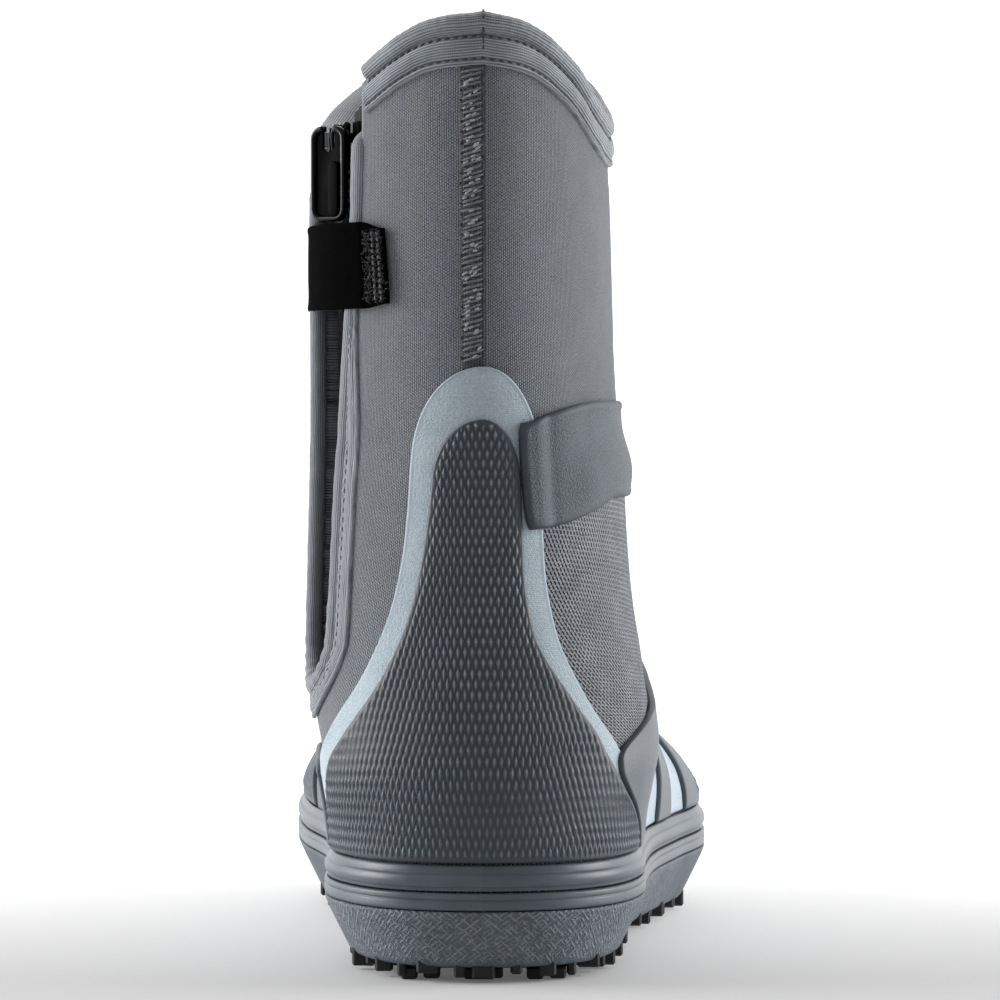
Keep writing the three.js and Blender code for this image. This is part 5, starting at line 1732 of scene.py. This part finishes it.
def sole_body(name, levels, material, count=420, crest=None):
    """A slab in the sole's outline through insets and heights from its underside up."""
    angles = np.arange(count) / count * 2 * np.pi
    inset, z = np.asarray(levels, float).T
    grid_a = np.broadcast_to(angles[None], (len(inset), count))
    points = sole_points(grid_a, np.broadcast_to(inset[:, None], grid_a.shape),
                         np.broadcast_to(z[:, None], grid_a.shape))
    n = len(inset)
    ids = np.arange(n * count).reshape(n, count)
    i, j = (x.ravel() for x in np.meshgrid(np.arange(n - 1), np.arange(count), indexing="ij"))
    jn = (j + 1) % count
    sides = np.stack([ids[i, j], ids[i, jn], ids[i + 1, jn], ids[i + 1, j]], -1)
    widest = points[-2]
    run = arc(np.concatenate([widest, widest[:1]]), 0)
    up = arc(points, 0)[:, 0]
    uv = np.stack([np.stack([run[j + p], up[i + q]], -1) for p, q in ((0, 0), (1, 0), (1, 1), (0, 1))], -2)
    k = np.arange(1, count // 2 - 1)
    faces, uvs = [sides], [uv]
    for row, flip in ((0, True), (n - 1, False)):
        line = ids[row]
        quads = np.stack([line[k], line[k + 1], line[count - k - 1], line[count - k]], -1)
        tips = np.array([[line[0], line[1], line[-1]],
                         [line[count // 2], line[count // 2 + 1], line[count // 2 - 1]]])
        flat = points.reshape(-1, 3)[:, :2]
        for made in (quads, tips):
            made = made[:, ::-1] if flip else made
            faces.append(made)
            uvs.append(flat[made])
    values = {"edge": np.full(points[..., 0].size, 9.0)}
    if crest is not None:
        values["crest"] = crest(grid_a, points)
    return make_mesh(name, points.reshape(-1, 3), faces, uvs, material, values, sharp=50)


def add_sole():
    levels = [[9.0, 4.0], [7.6, 4.05], [7.0, 4.3], [6.55, 4.8]]
    sides = smooth_line([[6.3, 5.3], [4.7, 8.4], [2.3, 13.2], [0.8, 16.4], [0.15, 17.9]], 24)
    levels = levels + sides.tolist() + [[0.1, 18.3], [0.35, 18.6], [0.9, 18.65]]

    def heel_share(angle, points):
        turn = np.abs(np.arctan2(np.sin(angle), np.cos(angle)))
        return (1 - smooth(turn, rad(78), rad(100))) * smooth(points[..., 2], 4.2, 6.0)

    place(sole_body("outsole", levels, SOLE_RUBBER, 480, heel_share), "boot", "sole_rubber", "outsole")

    def rounded(points, count=7):
        """A closed section whose corners are eased."""
        points = np.asarray(points, float)
        out = []
        for before, at, after in zip(np.roll(points, 1, 0), points, np.roll(points, -1, 0)):
            ease = min(0.35, np.linalg.norm(before - at) * 0.4, np.linalg.norm(after - at) * 0.4)
            p, q = at + unit(before - at) * ease, at + unit(after - at) * ease
            t = np.linspace(0, 1, count)[:, None]
            out.append((1 - t) ** 2 * p + 2 * t * (1 - t) * at + t**2 * q)
        return np.concatenate(out)

    low = [[0.5, 18.9], [0.0, 19.4], [0.0, 21.2], [0.28, 21.45], [0.28, 21.65], [0.0, 21.9], [0.0, 23.0],
           [0.5, 23.35],
           [2.6, 23.35], [2.6, 18.9]]
    place(sole_loop("lower_foxing", rounded(low, 4), FOXING_RUBBER), "boot", "foxing_rubber", "lower_foxing")
    bead = [(0.95 - 0.95 * math.sin(t), 26.3 - 1.75 * math.cos(t)) for t in np.linspace(0.2, np.pi - 0.2, 12)]
    high = [[0.9, 23.75], [0.55, 24.0], *bead, [1.15, 28.3], [1.45, 29.5], [1.75, 30.1], [2.2, 30.3],
            [2.7, 30.2], [2.7, 23.75]]
    place(sole_loop("upper_foxing", high, FOXING_RUBBER), "boot", "foxing_rubber", "upper_foxing")
    core = FOXING_DEPTH + WALL + 1.4
    board = [[core + 0.8, 25.4], [core + 0.8, 26.5], [core + 0.5, 28.4], [core + 1.2, 29.3], [core + 3, 29.6]]
    place(sole_body("insole", board, LINING, 240), "boot", "foam", "insole")
    for name in ("midsole", "lasting_board"):
        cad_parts[name].data.materials.clear()
        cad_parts[name].data.materials.append(BOARD)


def add_tread():
    lug = {"size": 10.0, "pitch_x": 16.0, "pitch_y": 16.5, "edge": 10.5, "groove": 1.5}
    low, plate_low, plate_top = 0.0, 2.9, 3.6

    def inside(x, y):
        angle = math.acos(1 - 2 * y / LENGTH)
        right, left = (sole_edge(np.array([s * angle]), lug["edge"])[0, 0] for s in (1, -1))
        return left < x < right

    lows = {"heel_tread": [], "forefoot_tread": []}
    highs = {"heel_tread": [], "forefoot_tread": []}
    half = lug["size"] / 2
    y = 21.0
    while y < LENGTH - 16:
        if not 96 < y < 124:
            for column in range(-5, 6):
                x = HEEL_X + column * lug["pitch_x"]
                if not all(inside(x + p * half, y + q * half) for p in (-1, 1) for q in (-1, 1)):
                    continue
                name = "heel_tread" if y < 104 else "forefoot_tread"
                lift = float(spring((y - half) / LENGTH))
                top = float(spring(y / LENGTH)) + plate_low + 0.3
                cut = lug["groove"] / 2
                lows[name] += [(x - half, y - half, lift + low), (x + cut, y - half, lift + low + 0.25)]
                highs[name] += [(x - cut, y + half, top), (x + half, y + half, top)]
                lows[name].append((x - half + 0.5, y - half + 0.5, lift + 1.7))
                highs[name].append((x + half - 0.5, y + half - 0.5, top))
        y += lug["pitch_y"]
    turns = np.linspace(0, 2 * np.pi, 721)
    outline = sole_edge(turns, 8.9)
    gone = arc(outline, 0)
    for k, at in enumerate(np.arange(0, gone[-1] - 5, 8.4)):
        x, y = (float(np.interp(at, gone, outline[:, axis])) for axis in (0, 1))
        if 98 < y < 124:
            continue
        name = "heel_tread" if y < 104 else "forefoot_tread"
        size, lift = (2.9, 1.5, 2.3, 1.2)[k % 4], float(spring(y / LENGTH))
        lows[name].append((x - size, y - 2, lift + (1.0, 2.2, 1.4)[k % 3]))
        highs[name].append((x + size, y + 2, lift + 6.0))
    for name, span in (("heel_tread", (9.0, 104.0)), ("forefoot_tread", (118.0, 289.0))):
        lugs = blocks(name + "_lugs", lows[name], highs[name], TREAD_RUBBER, 0.55)
        ys = np.linspace(*span, 60)
        angle = np.arccos(1 - 2 * ys / LENGTH)
        right, left = sole_edge(angle, lug["edge"]), sole_edge(-angle, lug["edge"])
        across = np.linspace(0, 1, 12)
        front = lerp(left[:, None], right[:, None], across[None, :, None])
        lift = spring(front[..., 1] / LENGTH)
        lower = np.concatenate([front, (plate_low + lift)[..., None]], -1)
        upper = np.concatenate([front, (plate_top + lift)[..., None]], -1)
        plate = solid(name + "_plate", lower, upper, front, TREAD_RUBBER)
        plate.data.flip_normals()
        place(join(name, [plate, lugs]), "boot", "tread_rubber", name)


add_camera()
add_stage()
add_upper()
add_collar()
add_back_seam()
add_zip_binding()
add_zip_facing()
add_gusset()
add_zip_rows()
add_slider()
add_pull()
add_guard()
add_heel()
add_sides()
add_front()
add_strap()
add_sole()
add_tread()
